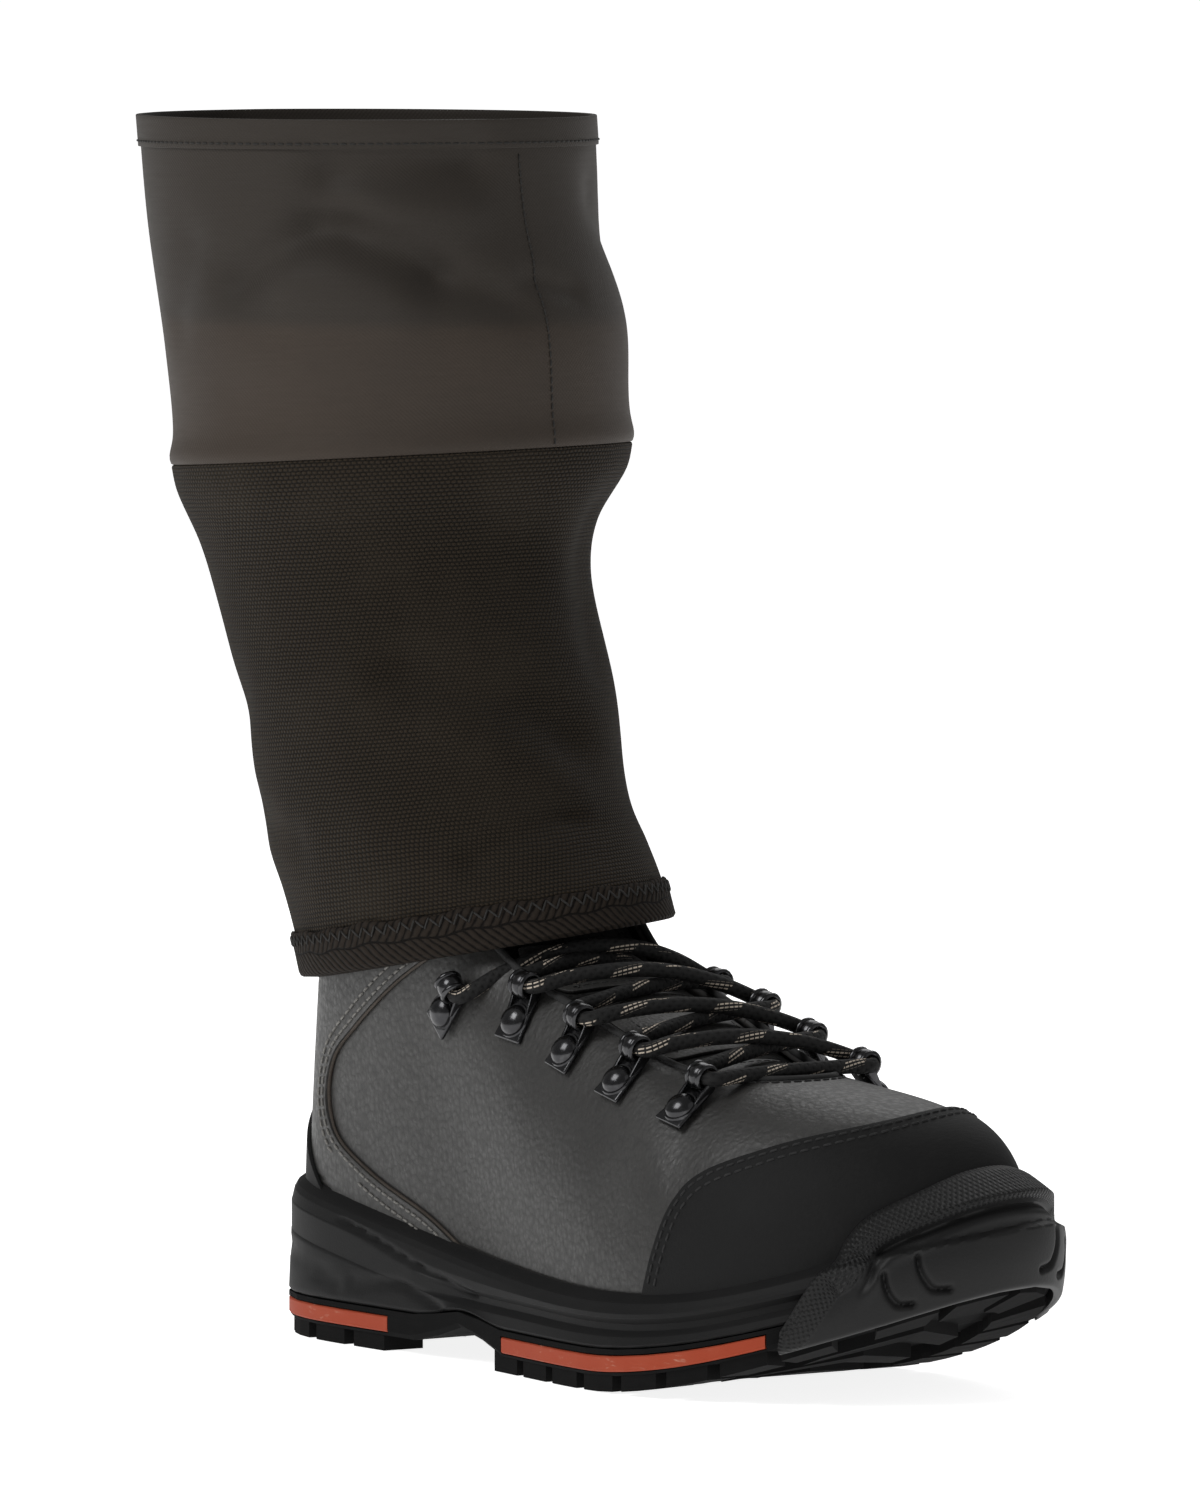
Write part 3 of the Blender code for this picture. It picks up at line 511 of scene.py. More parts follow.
@dataclass(frozen=True)
class FleckedBraid(Finish):
    """Braided lace, black with runs of pale strands. UV runs in metres along it and once round."""

    colour: Colour = (0.0115, 0.0113, 0.0112)
    fleck: Colour = (0.58, 0.50, 0.41)
    plait: float = 0.0030
    strands: float = 12.0
    repeat: float = 0.0165
    twist: float = 16.0
    relief: float = 0.00025

    def paint(self, shade: Shade) -> None:
        """Crossing strands; on two sides a bundle of them is pale for half of each repeat. Painted shade
        darkens the gaps between strands.
        """
        along, round_it, _ = shade.axes(shade.coords(Coords.UV))
        left = (along / self.plait + 5.0 * round_it).fraction()
        right = (along / self.plait - 5.0 * round_it).fraction()
        weave = (math.pi * left).sine().highest((math.pi * right).sine())
        drift = round_it + self.twist * along
        line = (math.pi * (self.strands * drift).fraction()).sine()
        bundle = (0.40 - (2.0 * drift).fraction()).step(0.0, 0.02)
        run = (0.52 - (along / self.repeat + 0.6 * drift).fraction()).step(0.0, 0.03)
        tick = (math.pi * (along / (0.5 * self.plait)).fraction()).sine().step(0.25, 0.5)
        thread = shade.lumps(2600.0, 2.0)
        # painted shade: the gaps between crossing strands are mixed towards a darker black
        tone = shade.mix(weave.step(0.35, 0.95), (0.005, 0.005, 0.005), self.colour)
        pale = bundle * run * tick * line.step(0.72, 0.9)
        shade.set(
            Base_Color=shade.mix(pale * (0.7 + 0.3 * thread), tone, self.fleck),
            Roughness=0.66 + 0.2 * thread,
            Specular_IOR_Level=0.25,
            Normal=shade.bump(weave + 0.15 * thread, self.relief),
        )


@dataclass(frozen=True)
class BlackMetal(Finish):
    """Black enamelled steel, glossy and rubbed a little paler in cloudy patches."""

    colour: Colour = (0.034, 0.034, 0.036)
    rubbed: Colour = (0.12, 0.12, 0.123)

    def paint(self, shade: Shade) -> None:
        """Enamel with faint scratches under a clear coat."""
        cloud = shade.lumps(260.0, 3.0)
        scratch = shade.lumps(2600.0, 3.0, (0.15, 1.0, 1.0))
        shade.set(
            Base_Color=shade.mix(cloud.step(0.5, 0.75) * 0.35, self.colour, self.rubbed),
            Metallic=0.92,
            Roughness=0.17 + 0.12 * scratch,
            Coat_Weight=0.3,
            Coat_Roughness=0.10,
            Normal=shade.bump(cloud + 0.3 * scratch, 0.00004),
        )


@dataclass(frozen=True)
class Yarn(Finish):
    """Sewing thread, or any matt cord of one tone."""

    colour: Colour = (0.050, 0.049, 0.046)

    def paint(self, shade: Shade) -> None:
        """Fine twist and slightly uneven tone."""
        twist = shade.lumps(1800.0, 2.0)
        dark = tuple(0.6 * channel for channel in self.colour)
        shade.set(
            Base_Color=shade.mix(twist.step(0.3, 0.7), dark, self.colour),
            Roughness=0.72 + 0.15 * twist,
            Normal=shade.bump(twist, 0.0001),
        )


@dataclass(frozen=True)
class Lining(Finish):
    """Black spacer mesh of the tongue's gusset and the boot's inside."""

    colour: Colour = (0.0130, 0.0128, 0.0125)
    hole: float = 0.0019

    def paint(self, shade: Shade) -> None:
        """A net of small round holes, darkened inside with painted shade."""
        place = shade.coords(Coords.OBJECT)
        holes = shade.cells(place, 1.0 / self.hole)
        fuzz = shade.lumps(2100.0, 2.0)
        net = holes.step(0.15, 0.5)
        shade.set(
            # painted shade: the holes are mixed towards near black
            Base_Color=shade.mix(net, (0.004, 0.004, 0.004), self.colour),
            Roughness=0.9 + 0.08 * fuzz,
            Specular_IOR_Level=0.15,
            Normal=shade.bump(net + 0.2 * fuzz, 0.0003),
        )


# Shaping

def select_only(piece: Piece) -> None:
    """Makes one object the only selected and the active one."""
    bpy.ops.object.select_all(action="DESELECT")
    piece.select_set(True)
    bpy.context.view_layer.objects.active = piece


def in_edit_mode(piece: Piece, work: Callable[[], object]) -> None:
    """Runs an operator on all of a piece in edit mode."""
    select_only(piece)
    bpy.ops.object.mode_set(mode="EDIT")
    bpy.ops.mesh.select_all(action="SELECT")
    work()
    bpy.ops.object.mode_set(mode="OBJECT")


def modify(piece: Piece, kind: str, **settings: object) -> None:
    """Adds a modifier, sets it and applies it."""
    modifier = piece.modifiers.new(kind.lower(), kind)
    for key, value in settings.items():
        setattr(modifier, key, value)
    select_only(piece)
    bpy.ops.object.modifier_apply(modifier=modifier.name)


def vertices_of(piece: Piece) -> Array:
    """Vertices of a mesh as rows of numbers."""
    flat = np.empty(3 * len(piece.data.vertices))
    piece.data.vertices.foreach_get("co", flat)
    return flat.reshape(-1, 3)


def face_out(piece: Piece, way: Optional[Sequence[float]] = None) -> None:
    """Turns an open sheet round if its faces point away from a way, or at its own middle.

    Args:
        piece: the sheet.
        way: where its faces are to point; away from the middle of its box if there is none.
    """
    middle = vertices_of(piece)
    middle = Vector((middle.min(0) + middle.max(0)) / 2)
    agreed = sum(
        face.area * face.normal.dot(face.center - middle if way is None else Vector(way))
        for face in piece.data.polygons
    )
    if agreed < 0:
        in_edit_mode(piece, lambda: bpy.ops.mesh.flip_normals())


def smooth(piece: Piece, angle: float = 40.0) -> None:
    """Shades a piece smooth, with edges sharper than an angle kept."""
    select_only(piece)
    bpy.ops.object.shade_smooth_by_angle(angle=math.radians(angle))


def close(piece: Piece, angle: float, ends: bool = True) -> Piece:
    """Fills a piece's open ends if it has any, turns its faces out and shades it smooth."""
    if ends:
        in_edit_mode(piece, lambda: bpy.ops.mesh.fill_holes(sides=0))
    in_edit_mode(piece, lambda: bpy.ops.mesh.normals_make_consistent(inside=False))
    smooth(piece, angle)
    return piece


def join(pieces: Sequence[Piece]) -> Piece:
    """Joins pieces into the first of them."""
    select_only(pieces[0])
    for piece in pieces:
        piece.select_set(True)
    bpy.ops.object.join()
    return bpy.context.object


def reshape(piece: Piece, shape: Array) -> Piece:
    """Moves a mesh's vertices to rows of numbers."""
    piece.data.vertices.foreach_set("co", shape.ravel())
    return piece


def primitive(add: Callable[..., object], **settings: object) -> Piece:
    """Adds one of Blender's own shapes and applies its place, turn and scale to its mesh."""
    bpy.ops.object.select_all(action="DESELECT")
    add(**settings)
    bpy.ops.object.transform_apply(location=True, rotation=True, scale=True)
    return bpy.context.object


def clamp(values: Array) -> Array:
    """Values kept between 0 and 1."""
    return np.clip(values, 0.0, 1.0)


def unit(ways: Array) -> Array:
    """A vector, or rows of them, at length 1."""
    return ways / np.linalg.norm(ways, axis=-1, keepdims=True)


def lengths(line: Array) -> Array:
    """Length along a line up to each of its points."""
    return np.concatenate([[0.0], np.cumsum(np.linalg.norm(np.diff(line, axis=0), axis=1))])


def halved(low: Array, high: Array, rounds: int,
           short: Callable[[Array], Array]) -> tuple[Array, Array]:
    """Narrower bounds of where something that rises is no longer short.

    Args:
        low: lower bounds.
        high: upper bounds.
        rounds: how often they are halved.
        short: says for each value whether it is too low.

    Returns:
        The new lower and upper bounds.
    """
    for _ in range(rounds):
        middle = (low + high) / 2
        under = short(middle)
        low, high = np.where(under, middle, low), np.where(under, high, middle)
    return low, high


def even_points(line: Array, spacing: float) -> Array:
    """Points along a line, as evenly spaced as whole steps allow."""
    reach = lengths(line)
    count = max(2, int(round(reach[-1] / spacing)) + 1)
    at = np.linspace(0.0, reach[-1], count)
    return np.stack([np.interp(at, reach, column) for column in line.T], axis=1)


def rounded_line(points: Rows, count: int) -> Array:
    """A smooth line through a few points, by a centripetal spline."""
    p = np.asarray(points, float)
    p = np.vstack([2 * p[0] - p[1], p, 2 * p[-1] - p[-2]])
    knots = np.concatenate([[0.0], np.cumsum(np.linalg.norm(np.diff(p, axis=0), axis=1) ** 0.5)])
    line = []
    for t in np.linspace(knots[1], knots[-2], count):
        i = int(np.clip(np.searchsorted(knots, t, side="right") - 1, 1, len(p) - 3))
        k = knots[i - 1:i + 3]
        c = p[i - 1:i + 3]
        a = [((k[j + 1] - t) * c[j] + (t - k[j]) * c[j + 1]) / (k[j + 1] - k[j]) for j in range(3)]
        b = [((k[j + 2] - t) * a[j] + (t - k[j]) * a[j + 1]) / (k[j + 2] - k[j]) for j in range(2)]
        line.append(((k[2] - t) * b[0] + (t - k[1]) * b[1]) / (k[2] - k[1]))
    return np.array(line)


def trough(points: Array, start: Sequence[float], end: Sequence[float], width: float) -> Array:
    """Soft mask, 1 on a straight line between two points and fading over a width."""
    a, b = np.asarray(start, float), np.asarray(end, float)
    along = b - a
    share = clamp((points - a) @ along / (along @ along))
    away = np.linalg.norm(points - a - share[:, None] * along, axis=1)
    return np.exp(-0.5 * (away / width) ** 2)


class Bench:
    """Where pieces are made: it knows where the boot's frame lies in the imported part."""

    def __init__(self, shift: Array) -> None:
        """Keeps the frame's place.

        Args:
            shift: the boot frame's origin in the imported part, in millimetres.
        """
        self.shift = np.asarray(shift, float)

    def placed(self, points: Array) -> Array:
        """Points of the boot's frame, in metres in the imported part."""
        return (np.asarray(points, float) + self.shift) * MM

    def unplaced(self, points: Array) -> Array:
        """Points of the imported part, in millimetres in the boot's frame."""
        return np.asarray(points, float) / MM - self.shift

    def sheet(self, name: str, cells: tuple[int, int], place: Place, joined: bool = False,
              flat: Optional[Place] = None,
              way: Optional[Sequence[float]] = None) -> Piece:
        """A sheet of square cells, laid out by a function.

        Args:
            name: name of the piece.
            cells: cells along and across.
            place: gives points, in millimetres, for shares along and across.
            joined: whether edges that meet are joined.
            flat: gives the place of each point on the flat material, in millimetres.
            way: where the sheet's faces point; outwards if there is none.

        Returns:
            The sheet, with a UV map in metres where flat is given.
        """
        bpy.ops.object.select_all(action="DESELECT")
        bpy.ops.mesh.primitive_grid_add(x_subdivisions=cells[0], y_subdivisions=cells[1], size=1.0)
        piece = bpy.context.object
        piece.name = name
        piece.data.name = name
        shares = vertices_of(piece)[:, :2] + 0.5
        points = place(shares[:, 0], shares[:, 1])
        reshape(piece, self.placed(points))
        if flat is not None:
            corners = np.empty(len(piece.data.loops), int)
            piece.data.loops.foreach_get("vertex_index", corners)
            spread = flat(shares[:, 0], shares[:, 1])[corners] * MM
            piece.data.uv_layers.active.data.foreach_set("uv", spread.ravel())
        piece.data.update()
        if joined:
            in_edit_mode(piece, lambda: bpy.ops.mesh.remove_doubles(threshold=0.00002))
        face_out(piece, way)
        return piece

    def shell(self, piece: Piece, thickness: float, outwards: bool = True,
              edge: float = 0.3, segments: int = 2) -> Piece:
        """Gives a sheet its thickness, with its edges rounded."""
        modify(piece, "SOLIDIFY", thickness=thickness * MM, offset=1.0 if outwards else -1.0)
        if edge:
            modify(piece, "BEVEL", width=edge * MM, segments=segments, limit_method="ANGLE",
                   angle_limit=math.radians(55))
        smooth(piece)
        return piece

    def tube(self, name: str, line: Array, radius: Numbers, sides: int = 8) -> Piece:
        """A round cord along a line, closed at its ends, with UV along it and once round it."""
        ways = unit(np.gradient(line, axis=0))
        side = np.cross(ways[0], (0.0, 0.3, 1.0))
        frames = []
        for way in ways:
            side = unit(side - (side @ way) * way)
            frames.append((side, np.cross(way, side)))
        frames = np.array(frames)
        reach = lengths(line)
        radii = np.broadcast_to(radius, len(line))
        count = len(line) - 1

        def place(along: Array, around: Array) -> Array:
            """Rings square to the line."""
            i = np.rint(along * count).astype(int)
            turn = 2 * math.pi * around
            ring = np.cos(turn)[:, None] * frames[i, 0] + np.sin(turn)[:, None] * frames[i, 1]
            return line[i] + radii[i][:, None] * ring

        def flat(along: Array, around: Array) -> Array:
            """Length along the line, and once round it."""
            i = np.rint(along * count).astype(int)
            return np.stack([reach[i], around / MM], axis=1)

        piece = self.sheet(name, (count, sides), place, joined=True, flat=flat)
        return close(piece, 60.0)


class Copies:
    """Copies of one small modelled shape, joined into one mesh."""

    def __init__(self, bench: Bench, model: Piece) -> None:
        """Takes the shape from a model at the origin, in metres, and removes the model.

        Args:
            bench: where the copies go.
            model: the shape, its length along X and its outer side along +Z.
        """
        self.bench = bench
        self.shape = vertices_of(model)
        self.faces = [tuple(face.vertices) for face in model.data.polygons]
        self.points: list[Array] = []
        bpy.data.objects.remove(model)

    def put(self, place: Array, along: Array, out: Array) -> None:
        """Adds a copy.

        Args:
            place: its middle, in millimetres.
            along: the way its length points.
            out: the way its outer side faces.
        """
        x = unit(along)
        y = unit(np.cross(out, x))
        turned = self.shape @ np.array([x, y, np.cross(x, y)])
        self.points.append(turned + self.bench.placed(place))

    def line(self, spots: Array, outs: Array) -> None:
        """Adds a copy at each spot of a line, along it, facing the ways out."""
        for place, along, out in zip(spots, np.gradient(spots, axis=0), outs):
            self.put(place, along, out)

    def piece(self, name: str) -> Piece:
        """Joins all copies into one piece."""
        count = len(self.shape)
        faces = [
            tuple(i + k * count for i in face)
            for k in range(len(self.points)) for face in self.faces
        ]
        mesh = bpy.data.meshes.new(name)
        mesh.from_pydata(np.vstack(self.points).tolist(), [], faces)
        made = bpy.data.objects.new(name, mesh)
        bpy.context.scene.collection.objects.link(made)
        smooth(made, 80.0)
        return made


def stitch_model(length: float, width: float, height: float) -> Piece:
    """One stitch: a short thread that dives into the cloth at both ends."""
    model = primitive(bpy.ops.mesh.primitive_cylinder_add, vertices=6, radius=0.5, depth=1.0,
                      rotation=(0.0, math.pi / 2, 0.0), end_fill_type="NGON")
    in_edit_mode(model, lambda: bpy.ops.mesh.bevel(offset=0.17, segments=1, affect="EDGES"))
    shape = vertices_of(model)
    drop = 1.0 - (2 * np.abs(shape[:, 0])) ** 2
    shape = shape * (length * MM, width * MM, height * MM)
    shape[:, 2] += (0.45 * drop - 0.1) * height * MM
    return reshape(model, shape)


def coat(piece: Piece, finish: Finish) -> None:
    """Gives a piece a finish's material, which is made once."""
    material = bpy.data.materials.get(finish.name) or finish.material()
    piece.data.materials.clear()
    piece.data.materials.append(material)


def dress(piece: Piece, finish: Finish, stands_for: Sequence[str] = ()) -> Piece:
    """Gives a piece its finish, ties it to the part and reports it.

    Args:
        piece: the finished shape.
        finish: how it looks.
        stands_for: CAD nodes that it is shown in place of.

    Returns:
        The piece.
    """
    coat(piece, finish)
    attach(piece, BODY)
    if stands_for:
        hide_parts(*stands_for)
    LOG.info("%s: %d faces", piece.name, len(piece.data.polygons))
    return piece


# The form of the boot, as in the part's source

# One row for each station round the foot, from the heel's back along the outer side to the toe
# and home along the inner side: sole edge x and y, footbed, groove, rim, topline x, y and z, slope
# at the foot and at the topline in degrees, and how far the upper follows those two slopes.
STATIONS: tuple[tuple[float, ...], ...] = (
    (0, 1, 25, 34, 46, 19, 0, 150, 91, 84, 34, 30),
    (20, -33, 25, 33, 44.5, 30, -24, 151, 90, 87, 34, 32),
    (60, -43, 24, 28, 39.5, 59, -34.5, 152, 88, 90, 34, 34),
    (115, -46, 21, 20.5, 31.5, 86, -32.5, 147, 87, 82, 36, 34),
    (170, -54, 18.5, 19.0, 26.8, 121, -26, 116, 89, 50, 34, 34),
    (215, -59, 18, 18.8, 26.2, 160, -25, 102, 92, 36, 32, 34),
    (252, -53, 22, 22.5, 29.5, 198, -22, 90, 93, 22, 33, 34),
    (283, -33, 30, 30.7, 38, 220, -14, 87, 91, 12, 37, 37),
    (299, -10, 36, 36.6, 45, 228, -5, 87, 90, 8, 37, 42),
    (304.5, 12, 40.5, 42, 48.5, 229, 4, 87, 90, 7, 37, 44),
    (299, 34, 41, 42.5, 49.5, 227, 12, 87, 91, 8, 39, 44),
    (278, 50, 33, 34, 42.5, 218, 19, 87, 93, 12, 39, 40),
    (243, 57, 23, 24, 32, 195, 23, 91, 94, 24, 36, 36),
    (205, 53, 19, 20, 28.5, 158, 26, 103, 92, 38, 36, 34),
    (155, 42, 20, 20.5, 30, 120, 27, 117, 88, 52, 36, 34),
    (105, 38, 22, 25, 35, 86, 33, 147, 85, 82, 36, 34),
    (55, 41, 24, 31, 40, 58, 35, 152, 88, 90, 34, 34),
    (18, 31, 25, 34, 44.5, 29, 24, 151, 90, 87, 34, 32),
)
TOE_ROW = 9


class Column(Enum):
    """What each number of a station is."""

    X, Y, FLOOR, GROOVE, RIM, TOP_X, TOP_Y, TOP_Z, LEAN, TOP_LEAN, RISE, REACH = range(12)


@dataclass
class Last:
    """The boot's last: sole outline, side heights and the upper's outer face.

    A place round the foot runs from 0 at the heel's back to 0.5 at the toe tip, outer side first.
    A height on the upper runs from 0 at the footbed to 1 at the topline.
    """

    upper_inset: float = 7.6
    toe_spring: float = 23.0
    spring_start: float = 205.0
    spring_power: float = 1.8
    inner_lift: float = 13.0
    sole_length: float = 304.5
    half_width: float = 55.0
    lug_depth: float = 4.6
    toe_thinning: float = 0.38
    arch_rise: float = 6.0
    arch_centre: float = 128.0
    arch_half: float = 27.0
    outsole_top: float = 12.2
    wall_end: float = 0.85

    def __post_init__(self) -> None:
        """Works out the closed curve through the stations."""
        rows = np.array(STATIONS, float)
        self.loop = np.vstack([rows, rows[:1]])
        self.chord = np.linalg.norm(np.diff(self.loop[:, :2], axis=0), axis=1)
        self.knots = np.concatenate([[0.0], np.cumsum(self.chord)])
        count = len(rows)
        matrix = np.zeros((count, count))
        for i in range(count):
            matrix[i, i - 1] += self.chord[i - 1]
            matrix[i, i] += 2 * (self.chord[i - 1] + self.chord[i])
            matrix[i, (i + 1) % count] += self.chord[i]
        slope = np.diff(self.loop, axis=0) / self.chord[:, None]
        bend = np.linalg.solve(matrix, 6 * (slope - np.roll(slope, 1, axis=0)))
        self.bend = np.vstack([bend, bend[:1]])

    def station(self, u: Array) -> Array:
        """The stations' numbers at places round the foot, one row each."""
        u = np.atleast_1d(np.asarray(u, float)) % 1.0
        toe, whole = self.knots[TOE_ROW], self.knots[-1]
        t = np.where(u < 0.5, toe * u * 2, toe + (whole - toe) * (u - 0.5) * 2)
        i = np.clip(np.searchsorted(self.knots, t, side="right") - 1, 0, len(self.chord) - 1)
        a = ((self.knots[i + 1] - t) / self.chord[i])[:, None]
        b = 1 - a
        curve = (a**3 - a) * self.bend[i] + (b**3 - b) * self.bend[i + 1]
        return a * self.loop[i] + b * self.loop[i + 1] + curve * self.chord[i][:, None] ** 2 / 6

    def column(self, u: Array, which: Column) -> Array:
        """One number of the stations at places round the foot."""
        return self.station(u)[:, which.value]

    def outward(self, u: Array) -> Array:
        """Unit vectors in plan, square to the sole's edge and away from the foot."""
        step = 0.002
        way = (self.station(np.asarray(u) + step) - self.station(np.asarray(u) - step))[:, :2]
        return unit(np.stack([way[:, 1], -way[:, 0]], axis=1))

    def edge(self, u: Array, inset: Numbers) -> Array:
        """Points in plan on the sole's edge, moved inwards."""
        return self.station(u)[:, :2] - np.asarray(inset).reshape(-1, 1) * self.outward(u)

    def point(self, u: Array, v: Array) -> Array:
        """Points on the upper's outer face."""
        u, v = np.broadcast_arrays(np.atleast_1d(np.asarray(u, float)), v)
        here = self.station(u)
        inward = -self.outward(u)
        foot = np.column_stack([self.edge(u, self.upper_inset), here[:, 2] + 0.4])
        top = here[:, 5:8]
        across = unit((top - foot)[:, :2] + 10 * inward)
        lean, top_lean = np.radians(here[:, 8:9]), np.radians(here[:, 9:10])
        leave = np.hstack([inward * np.cos(lean), np.sin(lean)])
        arrive = np.hstack([across * np.cos(top_lean), np.sin(top_lean)])
        first = foot + here[:, 10:11] * leave
        second = top - here[:, 11:12] * arrive
        v = np.asarray(v, float)[:, None]
        w = 1 - v
        return w**3 * foot + 3 * w * w * v * first + 3 * w * v * v * second + v**3 * top

    def normal(self, u: Array, v: Array) -> Array:
        """Unit vectors out of the upper's outer face."""
        u, v = np.broadcast_arrays(np.atleast_1d(np.asarray(u, float)), v)
        step = 0.004
        along = self.point(u + step, v) - self.point(u - step, v)
        up = self.point(u, np.minimum(1, v + step)) - self.point(u, np.maximum(0, v - step))
        normal = unit(np.cross(up, along))
        facing = np.sum(normal[:, :2] * self.outward(u), axis=1)
        turned = (facing <= 0) & (normal[:, 2] <= 0.5)
        normal[turned] *= -1
        return normal

    def offset(self, u: Array, v: Array, distance: Numbers) -> Array:
        """Points off the upper's outer face."""
        away = np.asarray(distance, float).reshape(-1, 1)
        return self.point(u, v) + away * self.normal(u, v)

    def climb(self, u: Array, z: Array) -> Array:
        """The height on the upper at which its wall first reaches z."""
        u, z = np.broadcast_arrays(np.atleast_1d(np.asarray(u, float)), z)
        low, high = halved(np.zeros(len(u)), np.full(len(u), self.wall_end), 26,
                           lambda v: self.point(u, v)[:, 2] < z)
        return (low + high) / 2

    def spring(self, x: Array, y: Array) -> Array:
        """Height of the sole's underside off the floor, through the toe spring."""
        share = np.maximum(0.0, (x - self.spring_start) / (self.sole_length - self.spring_start))
        across = np.maximum(0.0, y + self.half_width) / (2 * self.half_width)
        return (self.toe_spring * share**self.spring_power
                + self.inner_lift * np.minimum(1.0, share) * across)

    def arch(self, x: Array) -> Array:
        """Extra lift of the underside between heel and forefoot."""
        share = np.minimum(1.0, np.abs(x - self.arch_centre) / self.arch_half)
        return self.arch_rise * (1 + np.cos(math.pi * share)) / 2

    def layer(self, x: Array, y: Array, height: float) -> Array:
        """Height in the outsole's thickness, which follows the toe spring."""
        lift = self.spring(x, y)
        return lift + height * (1 - self.toe_thinning * np.minimum(1.0, lift / self.toe_spring))

    def underside(self, x: Array, y: Array) -> Array:
        """Height of the outsole's underside between its lugs."""
        return self.layer(x, y, self.lug_depth) + self.arch(x)

    def split(self, x: Array, y: Array) -> Array:
        """Height at which the midsole lies on the outsole."""
        return self.layer(x, y, self.outsole_top) + 0.5 * self.arch(x)


# Upper

@dataclass(frozen=True)
class Crease:
    """A soft trough or ridge of the upper: its ends, its width and how deep it is."""

    start: Point
    end: Point
    width: float
    depth: float


@dataclass
class Upper:
    """Hollow upper with its heel panel, toe cap, seams and stitching."""

    bench: Bench
    last: Last
    wall: float = 2.6
    panel_lift: float = 0.35
    panel_thickness: float = 1.15
    panel_end: float = 0.24
    rim_tuck: float = 1.5
    cap_thickness: float = 1.05
    stitch_pitch: float = 3.3
    seam_stop: float = 4.5

    CREASES = (
        Crease((205, -58, 52), (176, -42, 92), 7.0, 1.1),
        Crease((222, -50, 62), (196, -30, 88), 5.0, -0.7),
        Crease((120, -46, 45), (96, -42, 88), 12.0, 0.8),
        Crease((150, -50, 60), (140, -38, 96), 9.0, -0.7),
        Crease((230, -44, 66), (206, 0, 92), 5.0, 0.8),
        Crease((225, 48, 62), (202, 10, 92), 6.0, 0.8),
        Crease((200, 54, 52), (172, 36, 96), 8.0, 1.1),
        Crease((120, 41, 46), (92, 40, 90), 12.0, 0.8),
        Crease((30, -30, 64), (32, 30, 64), 9.0, 0.7),
    )
    # Front edge of the heel panel, seen from the side: x and z, from the hem down to the rim
    PANEL_EDGE = (
        (106, 121), (95, 115), (80, 107), (57, 92), (44, 82), (40, 71), (45, 61), (66, 50), (98, 39.5),
        (116, 32),
    )
    # Back edge of the toe cap: place round the foot and height on the upper
    CAP_EDGE = (
        (0.342, 0.10), (0.350, 0.22), (0.365, 0.38), (0.380, 0.47), (0.395, 0.51), (0.420, 0.54),
        (0.445, 0.56), (0.477, 0.58), (0.520, 0.60), (0.555, 0.59), (0.580, 0.56), (0.605, 0.51),
        (0.620, 0.47), (0.635, 0.38), (0.650, 0.22), (0.658, 0.10),
    )
    # Sewn seam of the inner side, from the eyestay down to the sole
    INNER_SEAM = ((0.690, 0.86), (0.672, 0.62), (0.664, 0.40), (0.672, 0.18), (0.680, 0.10))
    INNER_ROWS = (-0.0085, -0.0035, 0.0035, 0.0085)     # its rows, in the way round the foot
    PANEL_ROWS = (1.9, 5.0)         # rows of stitches in from the heel panel's edge
    CAP_ROWS = (1.8, 4.6)           # and in from the toe cap's
    THROAT_ROW = (3.2, (0.385, 0.615))      # one in from the throat's edge, with its two ends

    def build(self) -> None:
        """Makes all pieces of the upper."""
        leather = Leather("pebbled_leather")
        body = self.body()
        dress(body, leather, ["upper"])
        self.skin = BVHTree.FromObject(body, bpy.context.evaluated_depsgraph_get())
        panel = self.heel_panel()
        dress(panel, leather, ["heel_counter"])
        self.panel_skin = BVHTree.FromObject(panel, bpy.context.evaluated_depsgraph_get())
        dress(self.toe_cap(), BrushedCap("brushed_cap"), ["toe_cap"])
        dress(self.heel_strip(), Rubber("heel_strip_rubber", roughness=0.6))
        self.edges()
        self.stitching()

    def body(self) -> Piece:
        """The hollow wall, with its creases, thickness and rolled topline."""
        def place(u: Array, v: Array) -> Array:
            """The last's face, pushed in and out by the creases."""
            points = self.last.point(u, v)
            push = np.zeros(len(points))
            for crease in self.CREASES:
                push -= crease.depth * trough(points, crease.start, crease.end, crease.width)
            fade = clamp((1 - v) / 0.08) * clamp(v / 0.2)
            return points + (push * fade)[:, None] * self.last.normal(u, v)

        piece = self.bench.sheet("upper_body", (216, 44), place, joined=True)
        return self.bench.shell(piece, self.wall, outwards=False, edge=0.9, segments=3)

    def panel_rows(self, side: Side, rows: Array, shares: Array) -> Array:
        """Points of the heel panel on one side.

        Args:
            side: which side.
            rows: share of the panel's height, from the lowest corner up to the hem.
            shares: share of the way from the heel's back to the front edge.

        Returns:
            Points in the boot's frame.
        """
        last = self.last
        line = rounded_line(self.PANEL_EDGE, 60)[::-1]
        z = line[0, 1] + rows * (line[-1, 1] - line[0, 1])
        front_x = np.interp(z, line[:, 1], line[:, 0])
        turns = np.linspace(0.0, self.panel_end, 97)
        rim = last.column(turns, Column.RIM) + 0.4
        back = np.where(z >= rim[0], 0.0, np.interp(-z, -rim, turns))

        def short(turn: Array) -> Array:
            """Whether places at a turn from the heel's back still lie behind the front edge."""
            u = side.around(turn)
            return last.point(u, last.climb(u, z))[:, 0] < front_x

        front, _ = halved(back, np.full(len(z), self.panel_end), 22, short)
        turn = back + shares * (front - back)
        u = turn if side is Side.OUTER else -turn
        return last.offset(u, last.climb(u, z), self.panel_lift)

